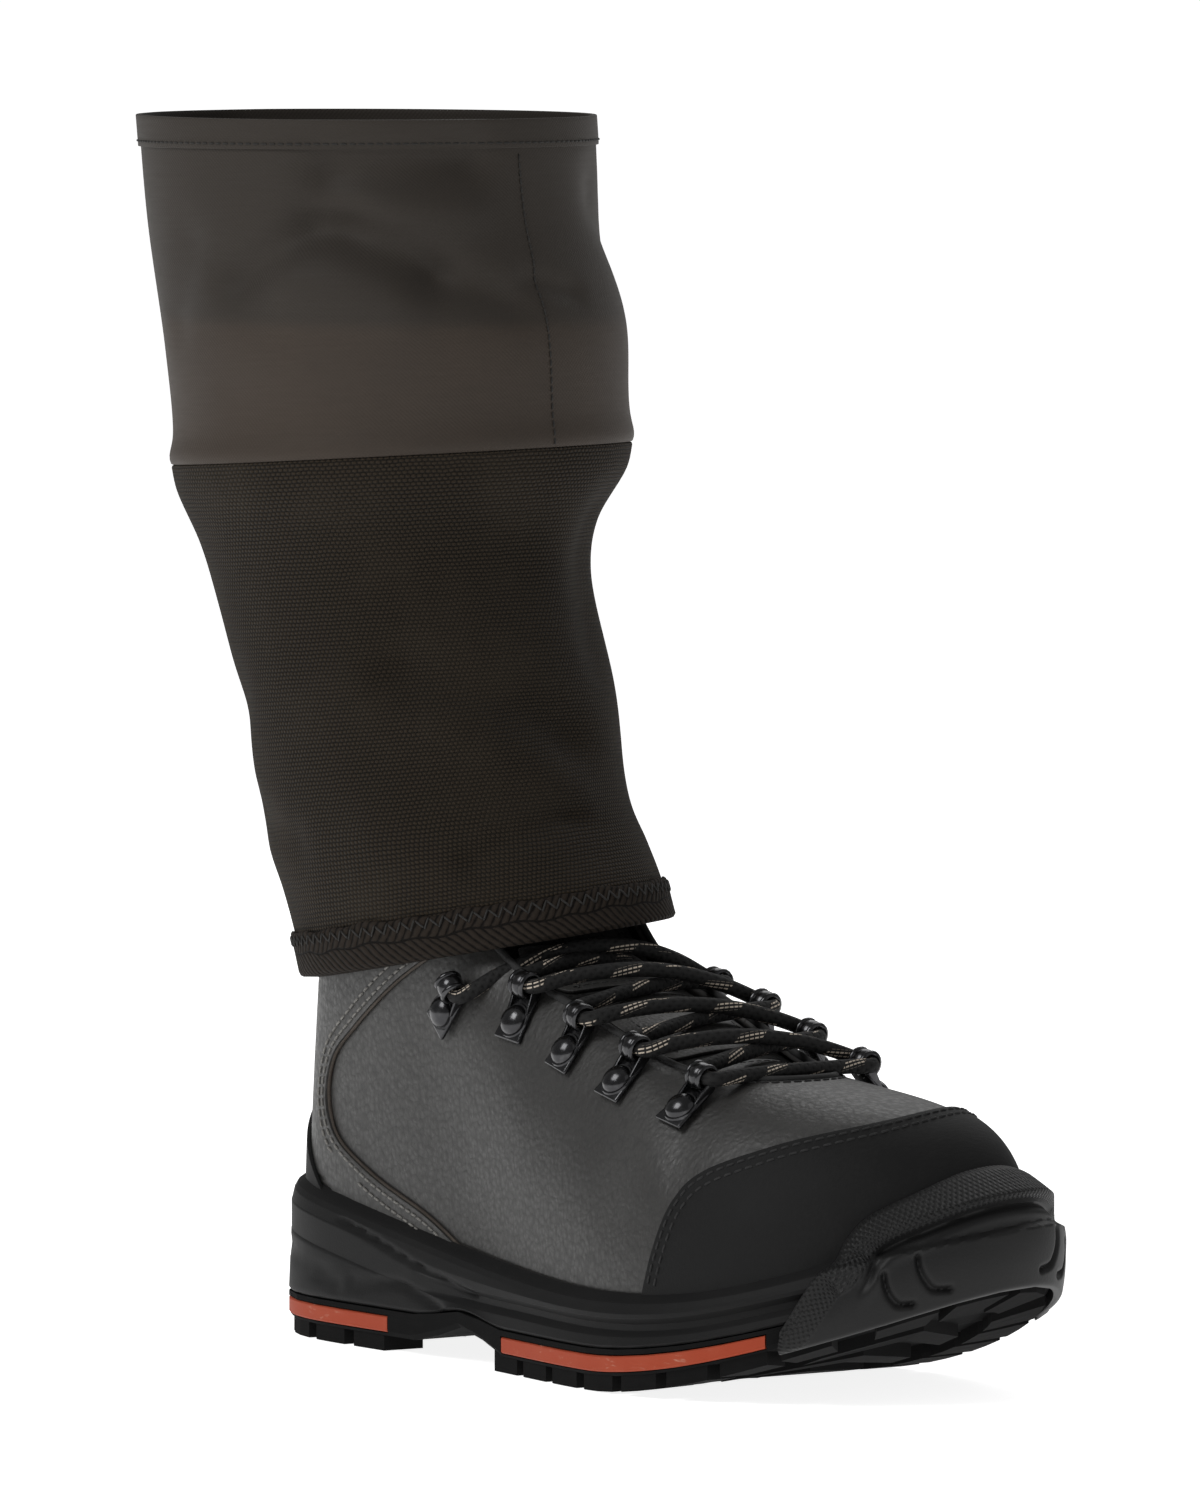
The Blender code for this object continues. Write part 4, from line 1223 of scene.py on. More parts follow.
    def heel_panel(self) -> Piece:
        """Panel that wraps the heel and laps over the quarter on both sides."""
        halves = []
        for side in Side:
            def place(share: Array, row: Array, side: Side = side) -> Array:
                """Rows of one side, closer together near the rim."""
                return self.panel_rows(side, row**0.9, share)
            halves.append(self.bench.sheet(f"heel_panel_{side.value}", (30, 48), place))
        panel = join(halves)
        panel.name = "heel_panel"
        in_edit_mode(panel, lambda: bpy.ops.mesh.remove_doubles(threshold=0.0001))
        in_edit_mode(panel, lambda: bpy.ops.mesh.normals_make_consistent(inside=False))
        face_out(panel)
        return self.bench.shell(panel, self.panel_thickness, edge=0.35)

    def cap_top(self, u: Array) -> Array:
        """Height of the toe cap's edge at places round the foot."""
        line = rounded_line(self.CAP_EDGE, 120)
        return np.interp(u, line[:, 0], line[:, 1])

    def toe_cap(self) -> Piece:
        """Cap over the toes, from the sole up to its stitched edge."""
        start, end = self.CAP_EDGE[0][0], self.CAP_EDGE[-1][0]

        def place(along: Array, up: Array) -> Array:
            """From the rim up to the cap's edge."""
            u = start + along * (end - start)
            low = self.last.climb(u, self.last.column(u, Column.RIM) - self.rim_tuck)
            v = low + up * np.maximum(self.cap_top(u) - low, 0.01)
            return self.last.offset(u, v, self.panel_lift)

        piece = self.bench.sheet("toe_cap_cover", (150, 30), place)
        return self.bench.shell(piece, self.cap_thickness, edge=0.35)

    def heel_strip(self) -> Piece:
        """Black rubber cup round the heel, highest in the middle and running out along the rim."""
        half, rise, blunt = 0.085, 33.0, 0.02

        def place(along: Array, up: Array) -> Array:
            """From under the rim up to the cup's blunt point."""
            aside = 2 * along - 1
            u = aside * half
            height = 2.0 + rise * (np.sqrt(1 + blunt) - np.sqrt(aside**2 + blunt))
            z = self.last.column(u, Column.RIM) - self.rim_tuck + up * height
            lift = self.panel_lift + self.panel_thickness + 0.1
            return self.last.offset(u, self.last.climb(u, z), lift)

        piece = self.bench.sheet("heel_strip", (64, 20), place)
        return self.bench.shell(piece, 1.2, edge=0.4)

    def panel_line(self, side: Side, back_from_edge: float) -> Array:
        """A line along the heel panel's front edge, set back from it by a distance."""
        rows = np.linspace(0.0, 1.0, 90)
        edge = self.panel_rows(side, rows, np.full(90, 1.0))
        inner = self.panel_rows(side, rows, np.full(90, 0.55))
        way = inner - edge
        along = unit(np.gradient(edge, axis=0))
        way -= np.sum(way * along, axis=1)[:, None] * along
        way /= np.maximum(np.linalg.norm(way, axis=1)[:, None], 1e-6)
        return edge + back_from_edge * way

    def cap_line(self, below_edge: float) -> Array:
        """A line along the toe cap's edge, set in from it by a distance."""
        u = np.linspace(self.CAP_EDGE[0][0] + 0.003, self.CAP_EDGE[-1][0] - 0.003, 220)
        top = self.cap_top(u)
        edge = self.last.point(u, top)
        way = unit(np.cross(np.gradient(edge, axis=0), self.last.normal(u, top)))
        way[way[:, 0] < 0] *= -1
        return edge + below_edge * way

    def throat_line(self, below_edge: float, reach: Pair) -> Array:
        """A line along the throat's edge, set in from it by a distance."""
        u = np.linspace(*reach, 160)
        top = np.full(160, 1.0)
        edge = self.last.point(u, top)
        return edge + below_edge * unit(self.last.point(u, top - 0.08) - edge)

    def on_skin(self, line: Array, lift: float,
                skin: Optional[BVHTree] = None) -> tuple[Array, Array]:
        """Points on the upper, or on another skin, nearest to a line, and the ways out of it there."""
        points, outs = [], []
        for p in self.bench.placed(line):
            spot, out, _, _ = (skin or self.skin).find_nearest(Vector(p))
            points.append(np.array(spot + out * lift * MM))
            outs.append(np.array(out))
        return self.bench.unplaced(np.array(points)), np.array(outs)

    def edges(self) -> None:
        """Cut edges of the panels, which show the leather's brown core, and the throat's binding."""
        core = Yarn("leather_core", colour=(0.052, 0.040, 0.030))
        for side in Side:
            line, _ = self.on_skin(even_points(self.panel_line(side, -0.2), 2.0), 0.55)
            dress(self.bench.tube(f"panel_core_{side.value}", line, 0.55, 6), core)
        line, _ = self.on_skin(even_points(self.throat_line(0.2, (0.225, 0.775)), 2.5), 0.35)
        binding = Yarn("throat_binding", colour=(0.014, 0.014, 0.014))
        dress(self.bench.tube("throat_binding", line, 1.15, 8), binding)

    def seams(self) -> dict[str, list[tuple[Array, float]]]:
        """Lines of stitching on the upper for each thread, with their heights over the wall."""
        cap = self.panel_lift + self.cap_thickness
        pale = []
        for side in Side:
            for away in self.PANEL_ROWS:
                line = self.panel_line(side, away)
                pale.append((line[line[:, 2] > line[:, 2].min() + self.seam_stop], 3.0))
        dark = [(self.cap_line(away), cap) for away in self.CAP_ROWS]
        dark.append((self.throat_line(*self.THROAT_ROW), 0.0))
        middle = rounded_line(self.INNER_SEAM, 60)
        for sideways in self.INNER_ROWS:
            u = middle[:, 0] + sideways
            dark.append((self.last.point(u, middle[:, 1]), 0.0))
        return {"grey_thread": pale, "black_thread": dark}

    def stitching(self) -> None:
        """All stitches of the upper, one piece for each thread."""
        tones = {"grey_thread": (0.19, 0.183, 0.17), "black_thread": (0.012, 0.012, 0.012)}
        for thread, lines in self.seams().items():
            stitches = Copies(self.bench, stitch_model(self.stitch_pitch * 0.76, 0.8, 0.8))
            for line, height in lines:
                spots, outs = self.on_skin(even_points(line, self.stitch_pitch), height)
                if thread == "grey_thread":
                    spots, outs = self.on_skin(spots, 0.1, self.panel_skin)
                stitches.line(spots, outs)
            dress(stitches.piece(f"upper_{thread}"), Yarn(thread, colour=tones[thread]))


# Sole

@dataclass(frozen=True)
class Groove:
    """A moulded line in the sole's side: places round the foot with heights above the floor."""

    line: tuple[Pair, ...]
    width: float
    depth: float


@dataclass
class Sole:
    """Midsole, outsole with its inlays, and the bumper that wraps the toe."""

    bench: Bench
    last: Last
    gap: float = 0.3
    stripe: Pair = (5.8, 10.4)
    bumper_thickness: float = 3.5
    bumper_low: float = -2.0
    lip_rise: float = 2.4
    least_side: float = 3.3
    lip_share: float = 0.3
    wall_share: float = 0.5
    closing_share: float = 0.15

    # Side of the midsole: datum, height over it, and inset from the sole's edge
    SIDE = (
        ("split", 0.3, 12.0), ("split", 0.3, 0.9), ("split", 1.1, 0.2), ("groove", -2.6, 0.9),
        ("groove", -0.9, 2.9), ("groove", 0.9, 2.9), ("groove", 2.6, 1.2), ("middle", 0.0, 1.1),
        ("rim", -2.2, 1.9), ("rim", -0.6, 2.8), ("rim", 0.0, 3.6),
    )
    GROOVE_START = (0.165, 0.04)    # where the side's groove begins, and how slowly it deepens
    # Place round the foot and height, for moulded lines on the outer side; mirrored to the inner
    GROOVES = (
        Groove(((0.112, 36), (0.135, 32.2), (0.160, 27.8), (0.185, 24), (0.212, 20.6)), 1.1, 1.5),
        Groove(((0.010, 27), (0.050, 26), (0.085, 22), (0.110, 17.5)), 1.5, 1.2),
        Groove(((0.120, 18), (0.150, 20.5), (0.175, 17.5), (0.190, 14.5)), 1.4, 1.2),
    )
    STRIPES = (
        ("stripe_heel", -0.145, 0.148, 80),
        ("stripe_forefoot_outer", 0.242, 0.408, 48),
        ("stripe_forefoot_inner", 0.592, 0.752, 48),
    )
    # Place round the foot, and the bumper's top edge above the midsole's rim
    BUMPER_TOP = (
        (0.415, -13.0), (0.430, 0.4), (0.434, 1.5), (0.440, 7.5), (0.450, 12.0), (0.465, 14.0),
        (0.500, 17.0), (0.545, 14.5), (0.558, 11.5), (0.568, 6.0), (0.575, 1.5), (0.579, 0.4),
        (0.592, -13.0),
    )
    RIM_BAND = 8.6           # width of the bumper's pointed rim
    RIM_EDGE = 1.2           # its thickness at the very top
    RIM_SLOPE = 1.0          # how fast it thickens from there down
    RIM_PROUD = (0.6, 1.2)   # how far it stands proud, and the width over which it steps down
    EDGE_ROUND = 1.2         # rounding of the bumper's edges
    FRONT = (0.056, 0.006)   # half of the toe's front in the way round the foot, and its fade
    # Moulded lines across the toe's front: distance below the rim, width and depth
    FRONT_LINES = ((1.5, 0.9, 1.9), (4.0, 1.2, -0.5))
    # Hooked grooves of the bumper's outer half: place round the foot and height from its lower edge
    HOOKS = (
        Groove(((0.4540, 14.5), (0.4548, 11.0), (0.4572, 7.0), (0.4605, 4.6), (0.4650, 3.8)), 0.95, 1.8),
        Groove(((0.4668, 16.5), (0.4676, 13.0), (0.4702, 8.8), (0.4738, 6.0), (0.4790, 5.0)), 0.95, 1.8),
    )

    def build(self) -> None:
        """Makes and dresses all pieces of the sole."""
        rubber = Rubber("moulded_rubber", gloss=0.15)
        dress(self.midsole(), rubber, ["midsole"])
        dress(self.bumper(), PointedRubber("bumper_rubber"), ["toe_bumper"])
        for name, start, end, steps in self.STRIPES:
            dress(self.inlay(name, start, end, steps), Inlay("brick_inlay"), [name])

    def cut(self, grooves: Sequence[Groove], u: Array, z: Array) -> Array:
        """Depth of the moulded lines at places round the foot, in millimetres."""
        girth = self.last.knots[-1]
        depth = np.zeros(len(u))
        for groove in grooves:
            line = rounded_line(groove.line, 40) * (girth, 1.0)
            spots = np.stack([u * girth, z], axis=1)
            near = np.min(np.linalg.norm(spots[:, None] - line[None], axis=2), axis=1)
            depth = np.maximum(depth, groove.depth * np.exp(-0.5 * (near / groove.width * 1.6) ** 2))
        return depth

    def midsole(self) -> Piece:
        """Moulded ring that the upper stands in, with its grooves and rounded rim."""
        last, rows = self.last, 64
        inner_rows = 12

        def place(along: Array, up: Array) -> Array:
            """Up the moulded side, over the lip, down the upper and back underneath."""
            u = along % 1.0
            here = last.station(u)
            split = last.split(here[:, 0], here[:, 1])
            groove, rim = np.maximum(here[:, 3], split + self.least_side), here[:, 4]
            datum = {"split": split, "groove": groove, "rim": rim,
                     "middle": 0.5 * (groove + 2.6 + rim - 2.2)}
            heights = np.stack([datum[name] + above for name, above, _ in self.SIDE])
            insets = np.array([inset for _, _, inset in self.SIDE])
            reach = np.linspace(0.0, 1.0, len(self.SIDE))
            outer = clamp(up * (rows + inner_rows) / rows)
            spot = np.clip(np.searchsorted(reach, outer, side="right") - 1, 0, len(reach) - 2)
            share = (outer - reach[spot]) / (reach[1] - reach[0])
            share = share * share * (3 - 2 * share)
            index = np.arange(len(u))
            z = heights[spot, index] * (1 - share) + heights[spot + 1, index] * share
            inset = insets[spot] * (1 - share) + insets[spot + 1] * share
            mirrored = np.where(u > 0.5, 1 - u, u)
            fade = clamp((mirrored - self.GROOVE_START[0]) / self.GROOVE_START[1])
            inset = np.where((spot > 1) & (spot < 7), np.minimum(inset, 1.0 + 2.0 * fade), inset)
            inset = inset + np.where(spot > 0, self.cut(self.GROOVES, mirrored, z), 0.0)
            points = np.column_stack([last.edge(u, inset), z])
            inside = clamp((up * (rows + inner_rows) - rows) / inner_rows)
            lip = clamp(inside / self.lip_share)[:, None]
            top = rim + self.lip_rise
            sunk = clamp((inside - self.lip_share) / self.wall_share)
            deep = top - sunk * (top - here[:, 2] - 0.5)
            wall = last.offset(u, last.climb(u, deep), self.gap + 0.15)
            wall[:, 2] = deep
            closing = clamp((inside - 1 + self.closing_share) / self.closing_share)[:, None]
            start = np.column_stack([last.edge(u, self.SIDE[0][2]), split + self.gap])
            points = np.where(inside[:, None] > 0, (1 - lip) * points + lip * wall, points)
            return (1 - closing) * points + closing * start

        piece = self.bench.sheet("midsole_body", (324, rows + inner_rows), place, joined=True)
        return close(piece, 50.0, ends=False)

    def inlay(self, name: str, start: float, end: float, steps: int) -> Piece:
        """Coloured band let into the outsole's edge."""
        last = self.last
        section = ((3.0, 0), (0.65, 0), (0.25, 0.09), (0.25, 0.91), (0.65, 1), (3.0, 1), (3.0, 0))

        def place(along: Array, around: Array) -> Array:
            """Once round the band's section."""
            u = start + along * (end - start)
            corner = np.rint(around * (len(section) - 1)).astype(int)
            inset = np.array([s[0] for s in section])[corner]
            up = np.array([s[1] for s in section])[corner]
            spot = last.edge(u, inset)
            low, high = (last.layer(spot[:, 0], spot[:, 1], z) for z in self.stripe)
            return np.column_stack([spot, low + up * (high - low)])

        piece = self.bench.sheet(name + "_band", (steps, len(section) - 1), place, joined=True)
        return close(piece, 35.0)

    def bumper_heights(self, u: Array) -> tuple[Array, Array]:
        """Lower and upper edge of the bumper at places round the foot."""
        here = self.last.station(u)
        low = self.last.underside(here[:, 0], here[:, 1]) + self.bumper_low
        line = rounded_line(self.BUMPER_TOP, 160)
        above = np.interp(u, line[:, 0], line[:, 1])
        return low, np.maximum(here[:, 4] + above, low + 2.0)

    def bumper_face(self, u: Array, z: Array, proud: Numbers) -> Array:
        """Points on the bumper's outer face, or proud of it."""
        last = self.last
        low, top = self.bumper_heights(u)
        share = clamp((z - low) / (top - low))
        crown = self.bumper_thickness * (
            0.55 + 0.45 * np.sin(math.pi * np.minimum(1.0, share * 1.25 + 0.1)))
        back = self.bumper_back(u, z)
        sloped = back + self.RIM_EDGE + self.RIM_SLOPE * (top - z)
        reach = np.minimum(np.maximum(back, -2.2) + crown, sloped) + proud
        return np.column_stack([last.edge(u, -reach), z])

    def bumper_back(self, u: Array, z: Array) -> Array:
        """How far out of the sole's edge the bumper's back is: it laps over the toe cap."""
        last = self.last
        rim = last.column(u, Column.RIM)
        lap = last.offset(u, last.climb(u, np.maximum(z, rim)), 4 * self.gap + 1.3)
        reach = np.sum((lap[:, :2] - last.edge(u, 0.0)) * last.outward(u), axis=1)
        over = clamp((z - rim) / 2.5)
        return (1 - over) * 0.1 + over * np.minimum(reach, 0.1)

    def bumper_edge(self, u: Array, z: Array) -> tuple[Array, Array]:
        """Where places on the bumper lie from its top and side edge, in millimetres.

        Args:
            u: places round the foot.
            z: heights above the floor.

        Returns:
            The length along the edge to its nearest point, and the distance from it.
        """
        girth = self.last.knots[-1]
        spread = np.linspace(self.BUMPER_TOP[0][0], self.BUMPER_TOP[-1][0], 480)
        edge = np.column_stack([spread * girth, self.bumper_heights(spread)[1]])
        edge = even_points(edge, 0.5)
        spots = np.column_stack([u * girth, z])
        near = np.argmin(np.linalg.norm(spots[:, None] - edge[None], axis=2), axis=1)
        ways = unit(np.gradient(edge, axis=0))
        away = spots - edge[near]
        return 0.5 * near + np.sum(away * ways[near], axis=1), np.linalg.norm(away, axis=1)

    def bumper(self) -> Piece:
        """Thick rubber shield round the toe, with its pointed rim, ledge and hooked grooves."""
        start, end = self.BUMPER_TOP[0][0], self.BUMPER_TOP[-1][0]
        front_rows, back_rows = 64, 8

        def spot(along: Array, around: Array) -> tuple[Array, ...]:
            """Place round the foot, height, share of the height, and whether it is in front."""
            u = start + along * (end - start)
            low, top = self.bumper_heights(u)
            turn = around * (front_rows + back_rows)
            front = turn <= front_rows
            share = np.where(front, turn / front_rows, 1 - (turn - front_rows) / back_rows)
            return u, low, top, share, front

        def place(along: Array, around: Array) -> Array:
            """Front face with its relief, then the back against the sole and cap."""
            u, low, top, share, front = spot(along, around)
            z = low + share * (top - low)
            _, margin = self.bumper_edge(u, z)
            proud, fade = self.RIM_PROUD
            relief = proud * clamp((self.RIM_BAND - margin) / fade)
            edge = np.minimum(share, 1 - share) * (top - low)
            relief -= self.EDGE_ROUND * clamp(1 - edge / self.EDGE_ROUND) ** 2
            relief -= self.cut(self.HOOKS, np.where(u > 0.5, 1 - u, u), z - low)
            front_half, fade = self.FRONT
            fore = clamp((front_half - np.abs(u - 0.5)) / fade)
            for below, width, depth in self.FRONT_LINES:
                away = (margin - self.RIM_BAND - below) / width
                relief -= depth * fore * np.exp(-0.5 * away**2)
            outer = self.bumper_face(u, z, relief)
            inner = np.column_stack([self.last.edge(u, -self.bumper_back(u, z)), z])
            return np.where(front[:, None], outer, inner)

        def flat(along: Array, around: Array) -> Array:
            """Length along the bumper's edge, and distance from it."""
            u, low, top, share, _ = spot(along, around)
            return np.column_stack(self.bumper_edge(u, low + share * (top - low)))

        piece = self.bench.sheet("toe_bumper_shield", (300, front_rows + back_rows), place,
                                 joined=True, flat=flat)
        return close(piece, 55.0)


# Tongue, hooks and lace

@dataclass
class Tongue:
    """Padded tongue under the lace, with leather panels sewn on its gusset."""

    bench: Bench
    last: Last
    thickness: float = 3.2
    lift: Point = INSTEP_UP
    tuck: Pair = (0.86, 0.99)
    edge: float = 0.12
    wall: float = 2.4
    padding: float = 2.2
    clearance: float = 1.2
    collar_foot: float = 112.0
    collar_rise: float = 34.0

    # Place round the foot of its outer edge, and how far its middle stands up, from the toe up
    ROWS = (
        (0.462, 0.8), (0.430, 2.0), (0.390, 3.6), (0.350, 4.2), (0.310, 3.6), (0.270, 2.0),
        (0.235, 1.5), (0.205, 2.0),
    )
    # Panels: first and last share of its length, half width as a share of its width
    PANELS = ((0.03, 0.17, 0.28), (0.21, 0.38, 0.31), (0.42, 0.59, 0.32), (0.64, 0.84, 0.32))

    def face(self, along: Array, across: Array) -> Array:
        """Points on the tongue's upper face, along it and across it from the outer side."""
        rows = rounded_line(self.ROWS, 80)
        at = np.linspace(0.0, 1.0, len(rows))
        u, crown = (np.interp(along, at, column) for column in rows.T)
        low, high = self.tuck
        share = clamp((across - self.edge) / (1 - 2 * self.edge))
        tucked = clamp(np.minimum(across, 1 - across) / self.edge)
        v = low + tucked * (high - low)
        sides = [
            self.last.offset(place, v, -self.wall_at(place, v) - self.clearance)
            for place in (u, 1 - u)
        ]
        bow = 4 * share * (1 - share)
        up = (crown * bow)[:, None] * np.array(self.lift)
        return (1 - share)[:, None] * sides[0] + share[:, None] * sides[1] + up

    def wall_at(self, u: Array, v: Array) -> Array:
        """Thickness of the upper over the tongue's edge: padded towards the collar."""
        above = self.last.column(u, Column.TOP_Z) - self.collar_foot
        collar = clamp(above / self.collar_rise)
        return self.wall + self.padding * collar * clamp((v - 0.45) / 0.3)

    def build(self) -> None:
        """Makes the tongue and its panels."""
        gusset = self.bench.sheet("tongue_gusset", (72, 40), self.face, way=self.lift)
        gusset = self.bench.shell(gusset, self.thickness, outwards=False, edge=0.6)
        dress(gusset, Lining("spacer_mesh"), ["tongue"])
        stitches = Copies(self.bench, stitch_model(2.3, 0.65, 0.65))
        for number, panel in enumerate(self.PANELS, 1):
            piece = self.panel(f"tongue_panel_{number}", panel)
            dress(piece, Leather("tongue_leather", pebble=0.0010))
            self.sew(stitches, panel)
        thread = Yarn("tongue_thread", colour=(0.030, 0.030, 0.029))
        dress(stitches.piece("tongue_stitching"), thread)

    def panel_spot(self, panel: Point, along: Array, across: Array) -> tuple[Array, Array]:
        """Place on the tongue of a point on a panel with rounded corners."""
        start, end, half = panel
        x, y = 2 * along - 1, 2 * across - 1
        grip = 0.10
        x_round = x * np.sqrt(1 - grip * y**6)
        y_round = y * np.sqrt(1 - 2.2 * grip * x**6)
        return start + (x_round + 1) / 2 * (end - start), 0.5 + y_round * half

    def raised(self, along: Array, across: Array, lift: float) -> Array:
        """Points over the tongue's face."""
        return self.face(along, across) + lift * np.array(self.lift)

    def panel(self, name: str, panel: Point) -> Piece:
        """A leather panel on the tongue, a little padded."""
        def place(along: Array, across: Array) -> Array:
            """The tongue's face, raised towards the panel's middle."""
            spot = self.panel_spot(panel, along, across)
            pad = (1 - (2 * along - 1) ** 4) * (1 - (2 * across - 1) ** 4)
            return self.raised(*spot, 0.15) + (0.9 * pad)[:, None] * np.array(self.lift)

        piece = self.bench.sheet(name, (26, 26), place, way=self.lift)
        return self.bench.shell(piece, 1.1, edge=0.4)

    def sew(self, stitches: Copies, panel: Point) -> None:
        """Stitches round a panel, in from its edge."""
        ends = (0.10, 0.90)
        ring = np.array([(ends[0], ends[0]), (ends[1], ends[0]), (ends[1], ends[1]),
                         (ends[0], ends[1]), (ends[0], ends[0])])
        ring = even_points(ring, 0.02)
        spots = self.raised(*self.panel_spot(panel, ring[:, 0], ring[:, 1]), 1.65)
        spots = even_points(spots, 3.0)
        stitches.line(spots, np.tile(self.lift, (len(spots), 1)))


@dataclass(frozen=True)
class HookPlace:
    """Where a hook sits: round the foot, height on the upper, and lean towards the toe."""

    around: float
    up: float
    lean: float


@dataclass
class Lacing:
    """Ten lace hooks and the one lace that runs through them."""

    bench: Bench
    last: Last
    plate: Point = (11.2, 16.4, 1.4)
    rivet_radius: float = 4.7
    loop_radius: float = 2.75
    loop_wall: float = 1.25
    loop_length: float = 5.6
    loop_reach: float = 10.4
    loop_height: float = 3.8
    lace_radius: float = 2.2
    seat: float = 0.55

    HOOKS = (
        HookPlace(0.200, 0.625, 42), HookPlace(0.270, 0.805, 0), HookPlace(0.311, 0.805, 0),
        HookPlace(0.344, 0.780, 0), HookPlace(0.379, 0.748, 0),
    )
    # How far the lower and the upper strand between two rows bow over the tongue
    LIFTS = ((9.8, 14.0), (3.4, 7.6), (2.0, 6.2), (1.6, 5.8))
    BAR_LIFT = 0.6
    # A cheek of a hook: its middle, its size, and its height at the rivet's end
    CHEEK_MIDDLE = (3.9, 6.2, 2.2)
    CHEEK_SIZE = (1.0, 8.4, 3.4)
    CHEEK_LOW = 1.9
    # Rings of a hook's sleeve: place along it, thickness, and stretch along it
    SLEEVE = ((-2.3, 0.85, 1.0), (0.0, 0.66, 3.4), (2.3, 0.85, 1.0))

    def build(self) -> None:
        """Makes the hooks of both sides, then the lace."""
        for side in Side:
            hooks = Copies(self.bench, self.hook_model())
            for row in range(len(self.HOOKS)):
                middle, along, _, out = self.frame(row, side)
                hooks.put(middle, along if side is Side.OUTER else -along, out)
            names = [f"hook_{side.value}_{row + 1}" for row in range(len(self.HOOKS))]
            piece = hooks.piece(f"hooks_{side.value}")
            smooth(piece, 45.0)
            dress(piece, BlackMetal("black_enamel"), names)
        lace = self.bench.tube("lace", self.route(), self.lace_radius, 12)
        strands = ["lace_bar", "lace_top", "lace_cross_1", "lace_cross_2", "lace_cross_3"]
        dress(lace, FleckedBraid("flecked_braid"), strands)

    def frame(self, row: int, side: Side) -> tuple[Array, ...]:
        """A hook's middle, and the ways along the eyestay, to the throat and outwards."""
        place = self.HOOKS[row]
        u = side.around(place.around)
        middle = self.last.offset(u, place.up, self.seat)[0]
        out = self.last.normal(u, place.up)[0]
        throat = (self.last.point(u, place.up + 0.04) - self.last.point(u, place.up - 0.04))[0]
        ends = [
            self.last.point(side.around(hook.around), hook.up)[0]
            for hook in (self.HOOKS[max(0, row - 1)], self.HOOKS[min(len(self.HOOKS) - 1, row + 1)])
        ]
        along = ends[1] - ends[0]
        along = unit(along - (along @ out) * out)
        across = np.cross(out, along)
        across = across if across @ throat > 0 else -across
        lean = math.radians(place.lean)
        turned = math.cos(lean) * along - math.sin(lean) * across
        return middle, turned, math.sin(lean) * along + math.cos(lean) * across, out

    def hook_model(self) -> Piece:
        """One hook, modelled at the origin: plate, domed rivet, and a sleeve for the lace."""
        pieces = [self.plate_model(), self.rivet_model(), *self.cheek_models(), *self.sleeve_models()]
        hook = join(pieces)
        bpy.ops.object.transform_apply(location=True, rotation=True, scale=True)
        return hook

    def plate_model(self) -> Piece:
        """Stamped plate, narrower towards the throat, with a pressed rim."""
        length, width, thick = (size * MM for size in self.plate)
        middle = width / 2 - (self.rivet_radius + 1.3) * MM
        plate = primitive(bpy.ops.mesh.primitive_cube_add, size=1.0,
                          location=(0.0, middle, thick / 2), scale=(length, width, thick))
        in_edit_mode(plate, lambda: bpy.ops.mesh.bevel(
            offset=0.0016, segments=3, affect="EDGES", clamp_overlap=True, profile=0.6))
        shape = vertices_of(plate)
        share = (shape[:, 1] - shape[:, 1].min()) / width
        shape[:, 0] *= 1.0 - 0.26 * share
        return reshape(plate, shape)

    def rivet_model(self) -> Piece:
        """Domed rivet head on a low collar."""
        bpy.ops.mesh.primitive_uv_sphere_add(
            segments=24, ring_count=14, radius=self.rivet_radius * MM,
            location=(0.0, 0.0, self.plate[2] * MM))
        rivet = bpy.context.object
        shape = vertices_of(rivet)
        shape[:, 2] *= np.where(shape[:, 2] > 0, 0.66, 0.25)
        reshape(rivet, shape)
        bpy.ops.mesh.primitive_torus_add(
            major_radius=(self.rivet_radius + 0.2) * MM, minor_radius=0.5 * MM,
            major_segments=20, minor_segments=6, location=(0.0, 0.0, self.plate[2] * MM))
        return join([rivet, bpy.context.object])

    def cheek_models(self) -> list[Piece]:
        """Raised sides of the plate, which carry the sleeve."""
        models = []
        x, y, z = (at * MM for at in self.CHEEK_MIDDLE)
        for side in (-1.0, 1.0):
            cheek = primitive(
                bpy.ops.mesh.primitive_cube_add, size=1.0,
                location=(side * x, y, z), scale=[size * MM for size in self.CHEEK_SIZE])
            in_edit_mode(cheek, lambda: bpy.ops.mesh.bevel(
                offset=0.0004, segments=2, affect="EDGES", clamp_overlap=True))
            shape = vertices_of(cheek)
            low = shape[:, 1] < y
            shape[low, 2] = np.minimum(shape[low, 2], self.CHEEK_LOW * MM)
            models.append(reshape(cheek, shape))
        return models

    def sleeve_models(self) -> list[Piece]:
        """Sleeve along the eyestay, with a rolled lip at each end and a strap over it."""
        reach, height = self.loop_reach * MM, self.loop_height * MM
        middle_radius = (self.loop_radius + self.loop_wall / 2) * MM
        models = []
        for offset, minor, stretch in self.SLEEVE:
            model = primitive(
                bpy.ops.mesh.primitive_torus_add, major_radius=middle_radius, minor_radius=minor * MM,
                major_segments=20, minor_segments=8, location=(offset * MM, reach, height),
                rotation=(0.0, math.pi / 2, 0.0))
            shape = vertices_of(model)
            shape[:, 0] = offset * MM + (shape[:, 0] - offset * MM) * stretch
            models.append(reshape(model, shape))
        return models

    def eye(self, row: int, side: Side, way: float) -> Array:
        """Middle of the lace at a hook: inside its sleeve, or where it leaves it."""
        middle, along, across, out = self.frame(row, side)
        inside = middle + self.loop_reach * across + self.loop_height * out
        return inside + way * (self.loop_length / 2 + 1.4) * along + abs(way) * 0.5 * across

